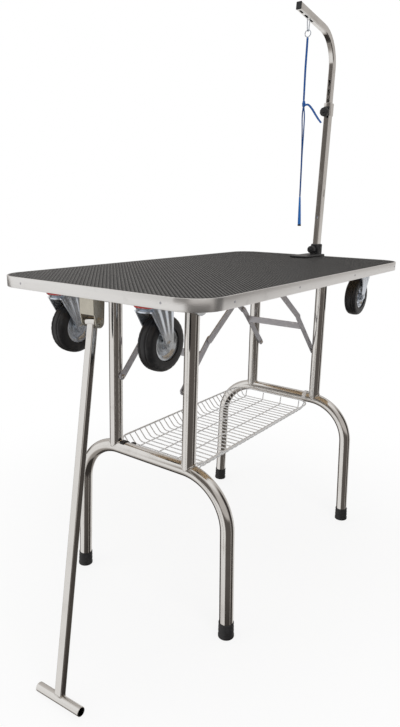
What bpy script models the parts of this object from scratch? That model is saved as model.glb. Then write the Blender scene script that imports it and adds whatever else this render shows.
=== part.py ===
"""Dog grooming table: folding leg frames, casters, pull handle, grooming arm and wire basket.

Metres, +Z up. The origin is on the floor, under the middle of the whole object's box.
Inside the script, X and Y are counted from the middle of the tabletop: +X runs from the handle's
end (near) to the arm's end (far), and -Y is the front.
"""
import math

import bmesh
import bpy
import numpy as np
from mathutils import Matrix, Vector

# Sizes of the tabletop
TOP_LENGTH = 1.100
TOP_WIDTH = 0.610
TOP_HEIGHT = 0.863
CORNER_RADIUS = 0.070
TRIM_HEIGHT = 0.026
TRIM_WALL = 0.0015
TRIM_LIP = 0.0012
TRIM_TOP_LAP = 0.003
TRIM_BOTTOM_LAP = 0.006
MAT_THICKNESS = 0.003
GAP = 0.0003
MIDDLE_OF_BOX = 0.0770

# Sizes of the leg frames
PIVOT_UNDER_BOARD = 0.0222
NEAR_PIVOT_X = -0.3337
FAR_PIVOT_X = 0.3514
NEAR_LEAN = math.radians(1.48)
TUBE_RADIUS = 0.0175
TUBE_WALL = 0.0015
UPRIGHT_Y = 0.1211
ARCH_HEIGHT = 0.4058
ARCH_BEND = 0.130
FOOT_Y = 0.2507
FOOT_SPLAY = math.radians(2.0)
FOOT_HEIGHT = 0.040
FOOT_FLOOR = 0.006
FOOT_TOP_RADIUS = 0.0190
FOOT_BOTTOM_RADIUS = 0.0200
FOOT_RIB_DEPTH = 0.0006
FOOT_RIBS = 3
FOOT_SOFT = 0.001
PIVOT_TUBE_RADIUS = 0.0125
PIVOT_TUBE_HALF = 0.160
UPRIGHT_TOP = 0.008
BRACKET_PLATE = 0.002
BRACKET_EAR_Y = 0.146
BRACKET_EAR = 0.003
BRACKET_RIM = 0.0165
BRACKET_LENGTH = 0.060

# Sizes of the folding braces
NEAR_BRACE_OUT = 0.0
NEAR_BRACE_DROP = 0.215
NEAR_BRACE_TOP = (-0.0935, 0.8125)
NEAR_LOWER_LINK = 0.1492
NEAR_UPPER_LINK = 0.1762
FAR_BRACE_OUT = 0.010
FAR_BRACE_DROP = 0.249
FAR_BRACE_TOP = (0.0600, 0.8245)
FAR_LOWER_LINK = 0.1780
FAR_UPPER_LINK = 0.2205
LINK_WIDTH = 0.019
LINK_THICKNESS = 0.003
LINK_PIN = 0.003
PIN_PLAY = 0.0003
RIVET_HEAD = 0.0055
RIVET_DOME = 0.0025
CROSS_BAR_HEIGHT = 0.020
CROSS_BAR_FROM_HINGE = 0.047

# Sizes of the casters
WHEEL_RADIUS = 0.061
TYRE_WIDTH = 0.037
TYRE_INNER = 0.0365
TYRE_SHOULDER = 0.012
TREAD_DEPTH = 0.003
TREAD_EDGE = 0.0065
RIM_WIDTH = 0.027
HUB_RADIUS = 0.0125
RIM_LIP = 0.006
WEB_HALF = 0.0075
HUB_WIDTH = 0.040
AXLE_RADIUS = 0.005
CASTER_DROP = 0.0922
CASTER_TRAIL = 0.038
NEAR_CASTER_X = -0.498
FAR_CASTER_X = 0.505
NEAR_CASTER_INSET = 0.171
FAR_CASTER_INSET = 0.112
PLATE_LENGTH = 0.077
PLATE_WIDTH = 0.100
PLATE_THICKNESS = 0.003
PLATE_CORNER = 0.008
PLATE_HOLE = 0.0045
RACE_RADIUS = 0.027
RED_RING_RADIUS = 0.0305
RACE_DEPTH = 0.013
FORK_STEEL = 0.0028
FORK_SIDE = 0.0222
FORK_CROWN = 0.026
FORK_DECK = 0.004
FORK_TOP_HALF = 0.018
FORK_BOSS = 0.0115
AXLE_HEAD = 0.0075
AXLE_HEAD_HEIGHT = 0.004

# Sizes of the pull handle
HANDLE_X = -0.527
HANDLE_UNDER_BOARD = 0.0532
HANDLE_LEAN = math.radians(15.3)
HANDLE_TILT = math.radians(6.3)
BAR_X = 0.015
BAR_Y = 0.020
BAR_WALL = 0.0015
SLEEVE_RADIUS = 0.0100
SLEEVE_BORE = 0.0060
SLEEVE_LENGTH = 0.029
GRIP_RADIUS = 0.0098
GRIP_WALL = 0.0015
GRIP_LENGTH = 0.134
CHEEK_Y = 0.0210
CHEEK = 0.002
CHEEK_BACK = -0.511
FRONT_PLATE_X = -0.543
FRONT_PLATE_BOTTOM = 0.802
CHEEK_ROUND = 0.0125
BOLT_RADIUS = 0.0055
BOLT_HEAD = 0.0078
BOLT_HEAD_HEIGHT = 0.005
BOLT_TIP = 0.002

# Sizes of the grooming arm
ARM_FOOT_X = 0.5515
ARM_FOOT_Z = 0.8865
LOWER_TUBE_FOOT = 0.8815
ARM_LEAN = math.radians(3.1)
ARM_RISE = math.radians(7.0)
ARM_BEND = 0.100
ARM_TIP_X = 0.328
ARM_CORNER = (0.5882, 1.563)
LOWER_TUBE_X = 0.025
LOWER_TUBE_Y = 0.0205
LOWER_TUBE_WALL = 0.0014
LOWER_TUBE_TOP = 1.345
UPPER_TUBE_X = 0.0215
UPPER_TUBE_Y = 0.0170
UPPER_TUBE_WALL = 0.0014
UPPER_TUBE_START = 1.060
TUBE_CORNER = 0.002
SLOT_LENGTH = 0.021
SLOT_WIDTH = 0.0065
FIRST_SLOT = 1.368
SLOT_PITCH = 0.0285
TIP_SLOT = 0.345
TIP_SLOT_PITCH = 0.033
SIDE_SLOT = 1.075
SIDE_SLOT_LENGTH = 0.024
BOSS_HEIGHT = 0.999
BOSS_LENGTH = 0.021
BOSS_PROUD = 0.009
BOSS_WIDTH = 0.010
COLLAR_LOW = 1.325
COLLAR_HIGH = 1.365
COLLAR_WALL = 0.004
KNOB_HEIGHT = 1.333
KNOB_RADIUS = 0.0145
KNOB_PROUD = 0.024
KNOB_STEM = 0.0045
KNOB_SOFT = 0.002
CLAMP_PLATE_X = 0.410
CLAMP_HALF_WIDTH = 0.030
CLAMP_PLATE = 0.006
CLAMP_WEB = 0.008
CLAMP_THROAT = 0.052
CLAMP_JAW_REACH = 0.070
SOCKET_HALF = 0.0160
SOCKET_TOP = 0.899
SOCKET_KNOB_RADIUS = 0.0125
SOCKET_KNOB_LENGTH = 0.020
SOCKET_KNOB_STAND = 0.0125
SOCKET_KNOB_HEIGHT = 0.8855
SCREW_RADIUS = 0.0045
SCREW_PAD = 0.013
SCREW_KNOB = 0.018
SCREW_DROP = 0.072

# Sizes of the lead
HOOK_WIRE = 0.0016
HOOK_HALF = 0.0086
HOOK_NARROW = 0.0048
HOOK_BOTTOM = 1.5405
RING_WIRE = 0.0014
RING_RADIUS = 0.0095
LEAD_RADIUS = 0.0030
SLIDER_TOP = 1.347
SLIDER_BOTTOM = 1.323
SLIDER_X = 0.3918
SLIDER_HALF_X = 0.0055
SLIDER_HALF_Y = 0.0100
SLIDER_SOFT = 0.0025
STRAND_GAP = 0.0042
LEAD_STEP = 0.014
BAND_RADIUS = 0.0053
BAND_HEAD = (0.4020, 0.0, 1.060)
BAND_FOOT = (0.4095, 0.0, 0.967)
STOP_LENGTH = 0.010

# Sizes of the basket
BASKET_RIM_Z = 0.403
BASKET_DEPTH = 0.026
BASKET_NEAR_GAP = 0.0355
BASKET_FAR_GAP = 0.0360
BASKET_FRONT = -0.125
BASKET_BACK = 0.158
BASKET_CORNER = 0.045
BASKET_SLOPE = 0.024
RIM_WIRE = 0.0025
THIN_WIRE = 0.0016
CROSS_WIRES = 29
LONG_WIRES = 4
LONG_WIRE_SPREAD = 0.205
END_SLOPE = 0.005
CLIP_WIDTH = 0.012
CLIP_WALL = 0.0027
CLIP_LIP_DROP = 0.0035
CLIP_START = math.radians(4.0)
CLIP_STOP = math.radians(125.0)
NEAR_CLIP_Y = 0.093
FAR_CLIP_Y = -0.091

# Heights and places that follow from the sizes
BOARD_TOP = TOP_HEIGHT - MAT_THICKNESS - GAP
BOARD_BOTTOM = TOP_HEIGHT - TRIM_HEIGHT + TRIM_LIP + GAP
UNDERSIDE = BOARD_BOTTOM - GAP
PIVOT_HEIGHT = UNDERSIDE - PIVOT_UNDER_BOARD
HANDLE_HEIGHT = UNDERSIDE - HANDLE_UNDER_BOARD
NEAR_CASTER = (NEAR_CASTER_X, TOP_WIDTH / 2.0 - NEAR_CASTER_INSET)
FAR_CASTER = (FAR_CASTER_X, TOP_WIDTH / 2.0 - FAR_CASTER_INSET)
UPRIGHT_SLOTS = tuple(FIRST_SLOT + SLOT_PITCH * i for i in range(3))
TIP_SLOTS = tuple(TIP_SLOT + TIP_SLOT_PITCH * i for i in range(3))
LOWER_LINK_Y = 0.0970
UPPER_LINK_Y = LOWER_LINK_Y + LINK_THICKNESS + GAP
BRACE_EAR_Y = 0.0885
ARCH_DROP = PIVOT_HEIGHT - ARCH_HEIGHT
UPRIGHT_BOTTOM = 0.001 - ARCH_DROP


def clear_scene():
    """Remove what the scene holds, so that only the table is left."""
    for item in list(bpy.data.objects):
        bpy.data.objects.remove(item, do_unlink=True)


clear_scene()
TABLE = bpy.data.collections.new("dog_grooming_table")
CUTTERS = bpy.data.collections.new("cutters")
bpy.context.scene.collection.children.link(TABLE)
bpy.context.scene.collection.children.link(CUTTERS)


def make_material(name, color, roughness, metallic):
    """A Principled material with one colour."""
    material = bpy.data.materials.new(name)
    material.use_nodes = True
    shader = material.node_tree.nodes["Principled BSDF"]
    shader.inputs["Base Color"].default_value = (*color, 1.0)
    shader.inputs["Roughness"].default_value = roughness
    shader.inputs["Metallic"].default_value = metallic
    return material


PLYWOOD = make_material("plywood", (0.55, 0.40, 0.25), 0.7, 0.0)
SATIN_TRIM = make_material("satin_trim", (0.78, 0.79, 0.80), 0.35, 1.0)
BLACK_MAT = make_material("black_mat", (0.045, 0.045, 0.048), 0.75, 0.0)
STAINLESS = make_material("stainless_tube", (0.72, 0.71, 0.69), 0.18, 1.0)
BLACK_RUBBER = make_material("black_rubber", (0.02, 0.02, 0.02), 0.7, 0.0)
ZINC = make_material("zinc_steel", (0.62, 0.64, 0.66), 0.35, 1.0)
GREY_STEEL = make_material("grey_link_steel", (0.55, 0.56, 0.57), 0.4, 1.0)
BLACK_PLASTIC = make_material("black_plastic", (0.025, 0.025, 0.027), 0.5, 0.0)
WHITE_WIRE = make_material("white_wire", (0.85, 0.86, 0.87), 0.35, 0.0)
BLUE_TAPE = make_material("blue_tape", (0.03, 0.13, 0.50), 0.7, 0.0)


def empty(name, location, parent=None, rotation=(0.0, 0.0, 0.0)):
    """A joint or a datum that pieces hang on."""
    item = bpy.data.objects.new(name, None)
    item.location = location
    item.rotation_euler = rotation
    item.parent = parent
    TABLE.objects.link(item)
    return item


TABLE_MIDDLE = empty("table_middle", (MIDDLE_OF_BOX, 0.0, 0.0))


def new_piece(name, mesh, material, parent=TABLE_MIDDLE, location=(0, 0, 0), rotation=(0, 0, 0)):
    """Put a mesh in the table's collection as a named piece."""
    item = bpy.data.objects.new(name, mesh)
    TABLE.objects.link(item)
    item.parent = parent
    item.location = location
    item.rotation_euler = rotation
    mesh.materials.clear()
    mesh.materials.append(material)
    mesh.shade_smooth()
    mesh.set_sharp_from_angle(angle=math.radians(35.0))
    return item


def mesh_from(build):
    """Make a mesh from a function that fills a bmesh."""
    mesh = bpy.data.meshes.new("shape")
    work = bmesh.new()
    build(work)
    bmesh.ops.recalc_face_normals(work, faces=work.faces)
    work.to_mesh(mesh)
    work.free()
    return mesh


def evaluated_mesh(item):
    """The mesh of an object with its modifiers, with loose caps welded; the object goes away."""
    bpy.context.view_layer.update()
    graph = bpy.context.evaluated_depsgraph_get()
    mesh = bpy.data.meshes.new_from_object(item.evaluated_get(graph))
    work = bmesh.new()
    work.from_mesh(mesh)
    bmesh.ops.remove_doubles(work, verts=work.verts, dist=1e-6)
    bmesh.ops.transform(work, matrix=item.matrix_world, verts=work.verts)
    bmesh.ops.recalc_face_normals(work, faces=work.faces)
    work.to_mesh(mesh)
    work.free()
    bpy.data.objects.remove(item, do_unlink=True)
    return mesh


def box(low, high, bevel=0.0):
    """A box between two corners, with its edges rounded if a bevel is given."""
    low = Vector(low)
    high = Vector(high)

    def build(work):
        bmesh.ops.create_cube(work, size=1.0)
        size = high - low
        bmesh.ops.scale(work, vec=size, verts=work.verts)
        bmesh.ops.translate(work, vec=(low + high) / 2.0, verts=work.verts)
        if bevel > 0.0:
            bmesh.ops.bevel(work, geom=list(work.edges), offset=bevel, segments=1,
                            profile=0.5, affect="EDGES")
    return mesh_from(build)


def rod(start, end, radius, sides=16, end_radius=None):
    """A round bar, or a cone, between two points."""
    start = Vector(start)
    end = Vector(end)
    along = end - start
    turn = along.to_track_quat("Z", "Y").to_matrix().to_4x4()
    place = Matrix.Translation((start + end) / 2.0) @ turn

    def build(work):
        bmesh.ops.create_cone(work, cap_ends=True, segments=sides, radius1=radius,
                              radius2=radius if end_radius is None else end_radius,
                              depth=along.length, matrix=place)
    return mesh_from(build)


def outline_curve(points, thickness, plane="XY", holes=()):
    """A flat plate: a 2D outline, and any holes in it, made thick."""
    curve = bpy.data.curves.new("outline", "CURVE")
    curve.dimensions = "2D"
    curve.fill_mode = "BOTH"
    curve.extrude = thickness / 2.0
    for loop in (points, *holes):
        spline = curve.splines.new("POLY")
        spline.points.add(len(loop) - 1)
        for point, (u, v) in zip(spline.points, loop):
            point.co = (u, v, 0.0, 1.0)
        spline.use_cyclic_u = True
    item = bpy.data.objects.new("outline", curve)
    CUTTERS.objects.link(item)
    if plane == "XZ":
        item.rotation_euler = (math.pi / 2.0, 0.0, 0.0)
    return item


def plate(points, thickness, plane="XY", middle=0.0, holes=()):
    """The mesh of a flat plate, its middle plane moved along its normal by middle."""
    item = outline_curve(points, thickness, plane, holes)
    item.location = (0.0, middle, 0.0) if plane == "XZ" else (0.0, 0.0, middle)
    return evaluated_mesh(item)


def turned(profile, sides=32):
    """A turned shape: a profile of (radius, height), top to bottom down the outer side, round Z."""
    mesh = bpy.data.meshes.new("profile")
    points = [(radius, 0.0, height) for radius, height in profile]
    loop = [(i, (i + 1) % len(points)) for i in range(len(points))]
    edges = [(i, j) for i, j in loop if points[i][0] > 0.0 or points[j][0] > 0.0]
    mesh.from_pydata(points, edges, [])
    item = bpy.data.objects.new("profile", mesh)
    CUTTERS.objects.link(item)
    screw = item.modifiers.new("Screw", "SCREW")
    screw.steps = sides
    screw.render_steps = sides
    screw.use_merge_vertices = True
    screw.merge_threshold = 1e-5
    return evaluated_mesh(item)


def ring_profile(inner, outer, low, high):
    """The profile of a plain ring."""
    return [(outer, high), (outer, low), (inner, low), (inner, high)]


def moved(mesh, location=(0, 0, 0), rotation=(0, 0, 0)):
    """Turn and move a mesh in place."""
    matrix = Matrix.Translation(location)
    matrix = matrix @ Matrix.Rotation(rotation[2], 4, "Z")
    matrix = matrix @ Matrix.Rotation(rotation[1], 4, "Y")
    matrix = matrix @ Matrix.Rotation(rotation[0], 4, "X")
    mesh.transform(matrix)
    return mesh


def combined(operation, base, *others):
    """Join, cut or intersect meshes with an exact Boolean."""
    item = bpy.data.objects.new("base", base)
    CUTTERS.objects.link(item)
    tools = []
    for other in others:
        tool = bpy.data.objects.new("tool", other)
        CUTTERS.objects.link(tool)
        tools.append(tool)
        step = item.modifiers.new("Boolean", "BOOLEAN")
        step.operation = operation
        step.solver = "EXACT"
        step.object = tool
    mesh = evaluated_mesh(item)
    for tool in tools:
        bpy.data.objects.remove(tool, do_unlink=True)
    return mesh


def joined(base, *others):
    return combined("UNION", base, *others)


def cut(base, *others):
    return combined("DIFFERENCE", base, *others)


def swept(points, radius, resolution=2, cyclic=False, caps=True):
    """A round tube along a list of points."""
    curve = bpy.data.curves.new("route", "CURVE")
    curve.dimensions = "3D"
    curve.bevel_depth = radius
    curve.bevel_resolution = resolution
    curve.use_fill_caps = caps and not cyclic
    spline = curve.splines.new("POLY")
    spline.points.add(len(points) - 1)
    for point, place in zip(spline.points, points):
        point.co = (*place, 1.0)
    spline.use_cyclic_u = cyclic
    item = bpy.data.objects.new("route", curve)
    CUTTERS.objects.link(item)
    return evaluated_mesh(item)


def hollowed(mesh, wall):
    """Give an open surface a wall on its inner side."""
    item = bpy.data.objects.new("skin", mesh)
    CUTTERS.objects.link(item)
    wall_step = item.modifiers.new("Solidify", "SOLIDIFY")
    wall_step.thickness = wall
    wall_step.offset = -1.0
    wall_step.use_even_offset = True
    return evaluated_mesh(item)


def rounded_rectangle(length, width, radius, steps=8):
    """Corner points of a rectangle with round corners, counter-clockwise."""
    points = []
    for quarter in range(4):
        middle_x = (length / 2.0 - radius) * (1 if quarter in (0, 3) else -1)
        middle_y = (width / 2.0 - radius) * (1 if quarter in (0, 1) else -1)
        for step in range(steps + 1):
            angle = math.pi / 2.0 * (quarter + step / steps)
            points.append((middle_x + radius * math.cos(angle), middle_y + radius * math.sin(angle)))
    return points


def circle_points(radius, steps, middle=(0.0, 0.0)):
    """Points of a circle."""
    return [(middle[0] + radius * math.cos(2.0 * math.pi * i / steps),
             middle[1] + radius * math.sin(2.0 * math.pi * i / steps)) for i in range(steps)]


def stadium(start, end, radius, steps=8):
    """Outline of a flat link with round ends between two points."""
    (ax, ay) = start
    (bx, by) = end
    heading = math.atan2(by - ay, bx - ax)
    points = []
    for step in range(steps + 1):
        angle = heading - math.pi / 2.0 + math.pi * step / steps
        points.append((bx + radius * math.cos(angle), by + radius * math.sin(angle)))
    for step in range(steps + 1):
        angle = heading + math.pi / 2.0 + math.pi * step / steps
        points.append((ax + radius * math.cos(angle), ay + radius * math.sin(angle)))
    return points


# Tabletop

def top_outline(inset, steps=6):
    """The tabletop's outline, moved in by inset."""
    return rounded_rectangle(TOP_LENGTH - 2.0 * inset, TOP_WIDTH - 2.0 * inset,
                             CORNER_RADIUS - inset, steps)


def slab(inset, low, high, steps=6):
    """A slab of the tabletop's outline between two heights."""
    return plate(top_outline(inset, steps), high - low, "XY", (low + high) / 2.0)


def make_tabletop():
    """Board, mat and the channel of the edge trim that holds them."""
    trim_low = TOP_HEIGHT - TRIM_HEIGHT
    band = slab(0.0, trim_low, TOP_HEIGHT)
    channel = slab(TRIM_WALL, trim_low + TRIM_LIP, TOP_HEIGHT - TRIM_LIP)
    mouth = slab(TRIM_TOP_LAP, TOP_HEIGHT - TRIM_HEIGHT / 2.0, TOP_HEIGHT + TRIM_HEIGHT)
    floor_mouth = slab(TRIM_BOTTOM_LAP, trim_low - TRIM_HEIGHT, TOP_HEIGHT - TRIM_HEIGHT / 2.0)
    new_piece("edge_trim", cut(band, channel, mouth, floor_mouth), SATIN_TRIM)
    board_inset = TRIM_WALL + GAP
    board = slab(board_inset, BOARD_BOTTOM, BOARD_TOP)
    new_piece("tabletop_board", board, PLYWOOD)
    mat = slab(TRIM_TOP_LAP + GAP, BOARD_TOP + GAP, TOP_HEIGHT)
    new_piece("rubber_mat", mat, BLACK_MAT)


# Leg frames. Each is made in its own frame: the origin is the fold's pivot, -Z runs down the
# uprights and +X points to the inside of the table.

def arch_route(drop):
    """Centre line of the bent arch, from one foot over the bar to the other foot."""
    corner_y = FOOT_Y - math.tan(FOOT_SPLAY) * (drop - ARCH_DROP)
    turn = math.pi / 2.0 - FOOT_SPLAY
    tangent = ARCH_BEND * math.tan(turn / 2.0)
    bar_end_y = corner_y - tangent
    centre = (bar_end_y, -ARCH_DROP - ARCH_BEND)
    foot_in = FOOT_FLOOR + GAP
    side = [(FOOT_Y - math.sin(FOOT_SPLAY) * foot_in, -drop + math.cos(FOOT_SPLAY) * foot_in)]
    steps = 7
    for step in range(steps + 1):
        angle = FOOT_SPLAY + turn * step / steps
        side.append((centre[0] + ARCH_BEND * math.cos(angle),
                     centre[1] + ARCH_BEND * math.sin(angle)))
    right = [(0.0, y, z) for y, z in side]
    left = [(0.0, -y, z) for y, z in reversed(side)]
    return right + left


def leg_drop(lean):
    """Distance from pivot to floor along the frame, so that the foot's edge touches the floor."""
    tilt = math.acos(math.cos(lean) * math.cos(FOOT_SPLAY))
    edge = (FOOT_BOTTOM_RADIUS - FOOT_SOFT) * math.sin(tilt)
    return (PIVOT_HEIGHT - edge) / math.cos(lean)


def foot_mesh():
    """A ribbed rubber cap with its bore, its bottom at the origin and its axis on +Z."""
    profile = [(FOOT_TOP_RADIUS - FOOT_SOFT / 2.0, FOOT_HEIGHT)]
    pitch = (FOOT_HEIGHT - FOOT_FLOOR) / (FOOT_RIBS + 0.5)
    for i in range(FOOT_RIBS):
        high = FOOT_HEIGHT - FOOT_SOFT - i * pitch
        share = (FOOT_HEIGHT - high) / FOOT_HEIGHT
        radius = FOOT_TOP_RADIUS + (FOOT_BOTTOM_RADIUS - FOOT_TOP_RADIUS) * share
        profile += [(radius, high - pitch * 0.45), (radius - FOOT_RIB_DEPTH, high - pitch * 0.7)]
    bore = TUBE_RADIUS + GAP
    profile += [(FOOT_BOTTOM_RADIUS, FOOT_FLOOR), (FOOT_BOTTOM_RADIUS, FOOT_SOFT),
                (FOOT_BOTTOM_RADIUS - FOOT_SOFT, 0.0), (0.0, 0.0), (0.0, FOOT_FLOOR),
                (bore, FOOT_FLOOR), (bore, FOOT_HEIGHT)]
    return turned(profile, 16)


def uprights_mesh(bolt, drop):
    """Two uprights, the cross tube they turn on, and the stub bolts of the braces."""
    parts = []
    for side in (1, -1):
        y = side * UPRIGHT_Y
        skin = swept([(0, y, UPRIGHT_BOTTOM), (0, y, UPRIGHT_TOP)], TUBE_RADIUS, 6, caps=False)
        parts.append(hollowed(skin, TUBE_WALL))
    cross = turned(ring_profile(PIVOT_TUBE_RADIUS - TUBE_WALL, PIVOT_TUBE_RADIUS,
                                -PIVOT_TUBE_HALF, PIVOT_TUBE_HALF), 16)
    moved(cross, rotation=(math.pi / 2.0, 0.0, 0.0))
    out, low = bolt
    inner_face = UPRIGHT_Y - math.sqrt(TUBE_RADIUS ** 2 - out ** 2)
    for side in (1, -1):
        washer = rod((-out, side * (inner_face + TUBE_WALL), -low),
                     (-out, side * UPPER_LINK_Y, -low), RIVET_HEAD, 12)
        pin = rod((-out, side * (inner_face + TUBE_WALL / 2.0), -low),
                  (-out, side * (LOWER_LINK_Y - GAP - RIVET_DOME), -low), LINK_PIN, 12)
        nut = rod((-out, side * (LOWER_LINK_Y - GAP), -low),
                  (-out, side * (LOWER_LINK_Y - GAP - 2.0 * RIVET_DOME), -low), RIVET_HEAD, 12,
                  RIVET_HEAD * 0.7)
        parts += [washer, pin, nut]
    whole = joined(cross, *parts)
    saddle = swept(arch_route(drop), TUBE_RADIUS + 1.2 * GAP, 6)
    return cut(whole, saddle)


def pivot_bracket_mesh():
    """A plate under the board with two ears that the cross tube turns in."""
    top = UNDERSIDE - PIVOT_HEIGHT
    half = BRACKET_LENGTH / 2.0
    span = BRACKET_EAR_Y + 0.022
    base = box((-half, -span, top - BRACKET_PLATE), (half, span, top))
    parts = []
    for side in (1, -1):
        radius = PIVOT_TUBE_RADIUS + BRACKET_RIM
        arc = [(radius * math.cos(a), radius * math.sin(a))
               for a in (math.pi + math.pi * i / 10.0 for i in range(11))]
        outline = arc + [(radius, top - BRACKET_PLATE / 2.0), (-radius, top - BRACKET_PLATE / 2.0)]
        parts.append(plate(outline, BRACKET_EAR, "XZ", side * BRACKET_EAR_Y))
    bore = rod((0, -TOP_WIDTH, 0), (0, TOP_WIDTH, 0), PIVOT_TUBE_RADIUS + GAP, 16)
    return cut(joined(base, *parts), bore)


def clip_mesh(near):
    """A clip on the arch's bar: a part ring, and on the near arch a hook over the basket's rim."""
    inner = TUBE_RADIUS + GAP
    outer = inner + CLIP_WALL
    steps = 10
    span = CLIP_STOP - CLIP_START
    inner_arc = [(inner * math.cos(CLIP_STOP - span * i / steps),
                  inner * math.sin(CLIP_STOP - span * i / steps)) for i in range(steps + 1)]
    hook = []
    first = CLIP_START
    if near:
        level = BASKET_RIM_Z - ARCH_HEIGHT + RIM_WIRE + GAP
        lip = BASKET_NEAR_GAP + RIM_WIRE + GAP
        hook = [(inner + GAP, level), (lip, level), (lip, level - CLIP_LIP_DROP),
                (lip + CLIP_WALL, level - CLIP_LIP_DROP), (lip + CLIP_WALL, level + CLIP_WALL)]
        first = math.asin((level + CLIP_WALL) / outer)
    span = CLIP_STOP - first
    outer_arc = [(outer * math.cos(first + span * i / steps),
                  outer * math.sin(first + span * i / steps)) for i in range(steps + 1)]
    return plate(inner_arc + hook + outer_arc, CLIP_WIDTH, "XZ", 0.0)


def hinge_place(low, top, lower, upper, inward):
    """Where the brace's hinge lies: at both links' lengths, on the side of the leg's pivot."""
    span = math.dist(low, top)
    along = (lower ** 2 - upper ** 2 + span ** 2) / (2.0 * span)
    across = math.sqrt(max(0.0, lower ** 2 - along ** 2))
    unit = ((top[0] - low[0]) / span, (top[1] - low[1]) / span)
    side = inward * across
    return (low[0] + unit[0] * along - unit[1] * side, low[1] + unit[1] * along + unit[0] * side)


def brace_low_point(pivot_x, lean, bolt, inward, fold=0.0):
    """Where the lower link's bolt on the upright lies when the frame has folded by an angle."""
    angle = fold - lean
    out, low = bolt
    sideways = low * math.sin(angle) - out * math.cos(angle)
    return (pivot_x + inward * sideways,
            PIVOT_HEIGHT - low * math.cos(angle) - out * math.sin(angle))


def make_leg_frame(end, pivot_x, lean, bolt, brace_top, lower, upper):
    """One folding frame with its feet, brackets, clip and braces."""
    near = end == "near"
    inward = 1 if near else -1
    facing = 0.0 if near else math.pi
    pivot = empty(end + "_leg_pivot", (pivot_x, 0.0, PIVOT_HEIGHT), TABLE_MIDDLE,
                  (0.0, inward * lean, facing))
    drop = leg_drop(lean)
    new_piece(end + "_uprights", uprights_mesh(bolt, drop), STAINLESS, pivot)
    skin = swept(arch_route(drop), TUBE_RADIUS, 6, caps=False)
    new_piece(end + "_leg_arch", hollowed(skin, TUBE_WALL), STAINLESS, pivot)
    foot = foot_mesh()
    for side, label in ((1, "front"), (-1, "back")):
        y = side * FOOT_Y * (-1 if near else 1)
        tilt = math.copysign(FOOT_SPLAY, y)
        new_piece(end + "_foot_" + label, foot.copy(), BLACK_RUBBER, pivot,
                  (0.0, y, -drop), (tilt, 0.0, 0.0))
    clip_y = NEAR_CLIP_Y if near else -FAR_CLIP_Y
    new_piece(end + "_basket_clip", clip_mesh(near), BLACK_PLASTIC if near else WHITE_WIRE, pivot,
              (0.0, clip_y, -ARCH_DROP), (0.0, -inward * lean, 0.0))
    holder = empty(end + "_bracket_place", (pivot_x, 0.0, PIVOT_HEIGHT), TABLE_MIDDLE)
    new_piece(end + "_pivot_bracket", pivot_bracket_mesh(), ZINC, holder)
    low = brace_low_point(pivot_x, lean, bolt, inward)
    make_braces(end, low, brace_top, hinge_place(low, brace_top, lower, upper, inward))


def make_braces(end, low, top, hinge):
    """Lower links with their cross bar, upper links, and the bracket under the board."""
    low_pivot = empty(end + "_lower_brace_pivot", (low[0], 0.0, low[1]), TABLE_MIDDLE)
    top_pivot = empty(end + "_upper_brace_pivot", (top[0], 0.0, top[1]), TABLE_MIDDLE)
    half = LINK_WIDTH / 2.0
    lower_end = (hinge[0] - low[0], hinge[1] - low[1])
    upper_end = (hinge[0] - top[0], hinge[1] - top[1])
    hole = circle_points(LINK_PIN + PIN_PLAY, 12)
    length = math.hypot(*lower_end)
    share = (length - CROSS_BAR_FROM_HINGE) / length
    bar_at = (lower_end[0] * share, lower_end[1] * share)
    reach = LOWER_LINK_Y + LINK_THICKNESS / 4.0
    parts = []
    for side in (1, -1):
        middle = side * (LOWER_LINK_Y + LINK_THICKNESS / 2.0)
        parts.append(plate(stadium((0.0, 0.0), lower_end, half), LINK_THICKNESS, "XZ", middle,
                           (hole,)))
        head_y = side * (LOWER_LINK_Y + LINK_THICKNESS / 2.0)
        parts.append(rod((lower_end[0], head_y, lower_end[1]),
                         (lower_end[0], side * (LOWER_LINK_Y - RIVET_DOME), lower_end[1]),
                         RIVET_HEAD, 12, RIVET_HEAD * 0.6))
    bar = box((bar_at[0] - LINK_THICKNESS / 2.0, -reach, bar_at[1] - CROSS_BAR_HEIGHT / 2.0),
              (bar_at[0] + LINK_THICKNESS / 2.0, reach, bar_at[1] + CROSS_BAR_HEIGHT / 2.0))
    new_piece(end + "_lower_brace", joined(bar, *parts), GREY_STEEL, low_pivot)
    for side, label in ((-1, "front"), (1, "back")):
        middle = side * (UPPER_LINK_Y + LINK_THICKNESS / 2.0)
        link = plate(stadium((0.0, 0.0), upper_end, half), LINK_THICKNESS, "XZ", middle, (hole,))
        new_piece(end + "_upper_brace_" + label, link, GREY_STEEL, top_pivot)
    high = UNDERSIDE - top[1]
    ear_half = half
    base = box((-ear_half - 0.006, -BRACE_EAR_Y - BRACKET_EAR, high - BRACKET_PLATE),
               (ear_half + 0.006, BRACE_EAR_Y + BRACKET_EAR, high))
    pieces = []
    for side in (1, -1):
        arc = [(ear_half * math.cos(a), ear_half * math.sin(a))
               for a in (math.pi + math.pi * i / 8.0 for i in range(9))]
        level = high - BRACKET_PLATE / 2.0
        outline = arc + [(ear_half, level), (-ear_half, level)]
        ear_middle = side * (BRACE_EAR_Y + BRACKET_EAR / 2.0)
        pieces.append(plate(outline, BRACKET_EAR, "XZ", ear_middle))
        pieces.append(rod((0, ear_middle, 0), (0, side * (UPPER_LINK_Y - GAP), 0),
                          LINK_PIN * 1.6, 12))
        pieces.append(rod((0, ear_middle, 0), (0, side * (UPPER_LINK_Y + LINK_THICKNESS), 0),
                          LINK_PIN, 12))
    new_piece(end + "_brace_bracket", joined(base, *pieces), ZINC, top_pivot)


# Casters

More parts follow.
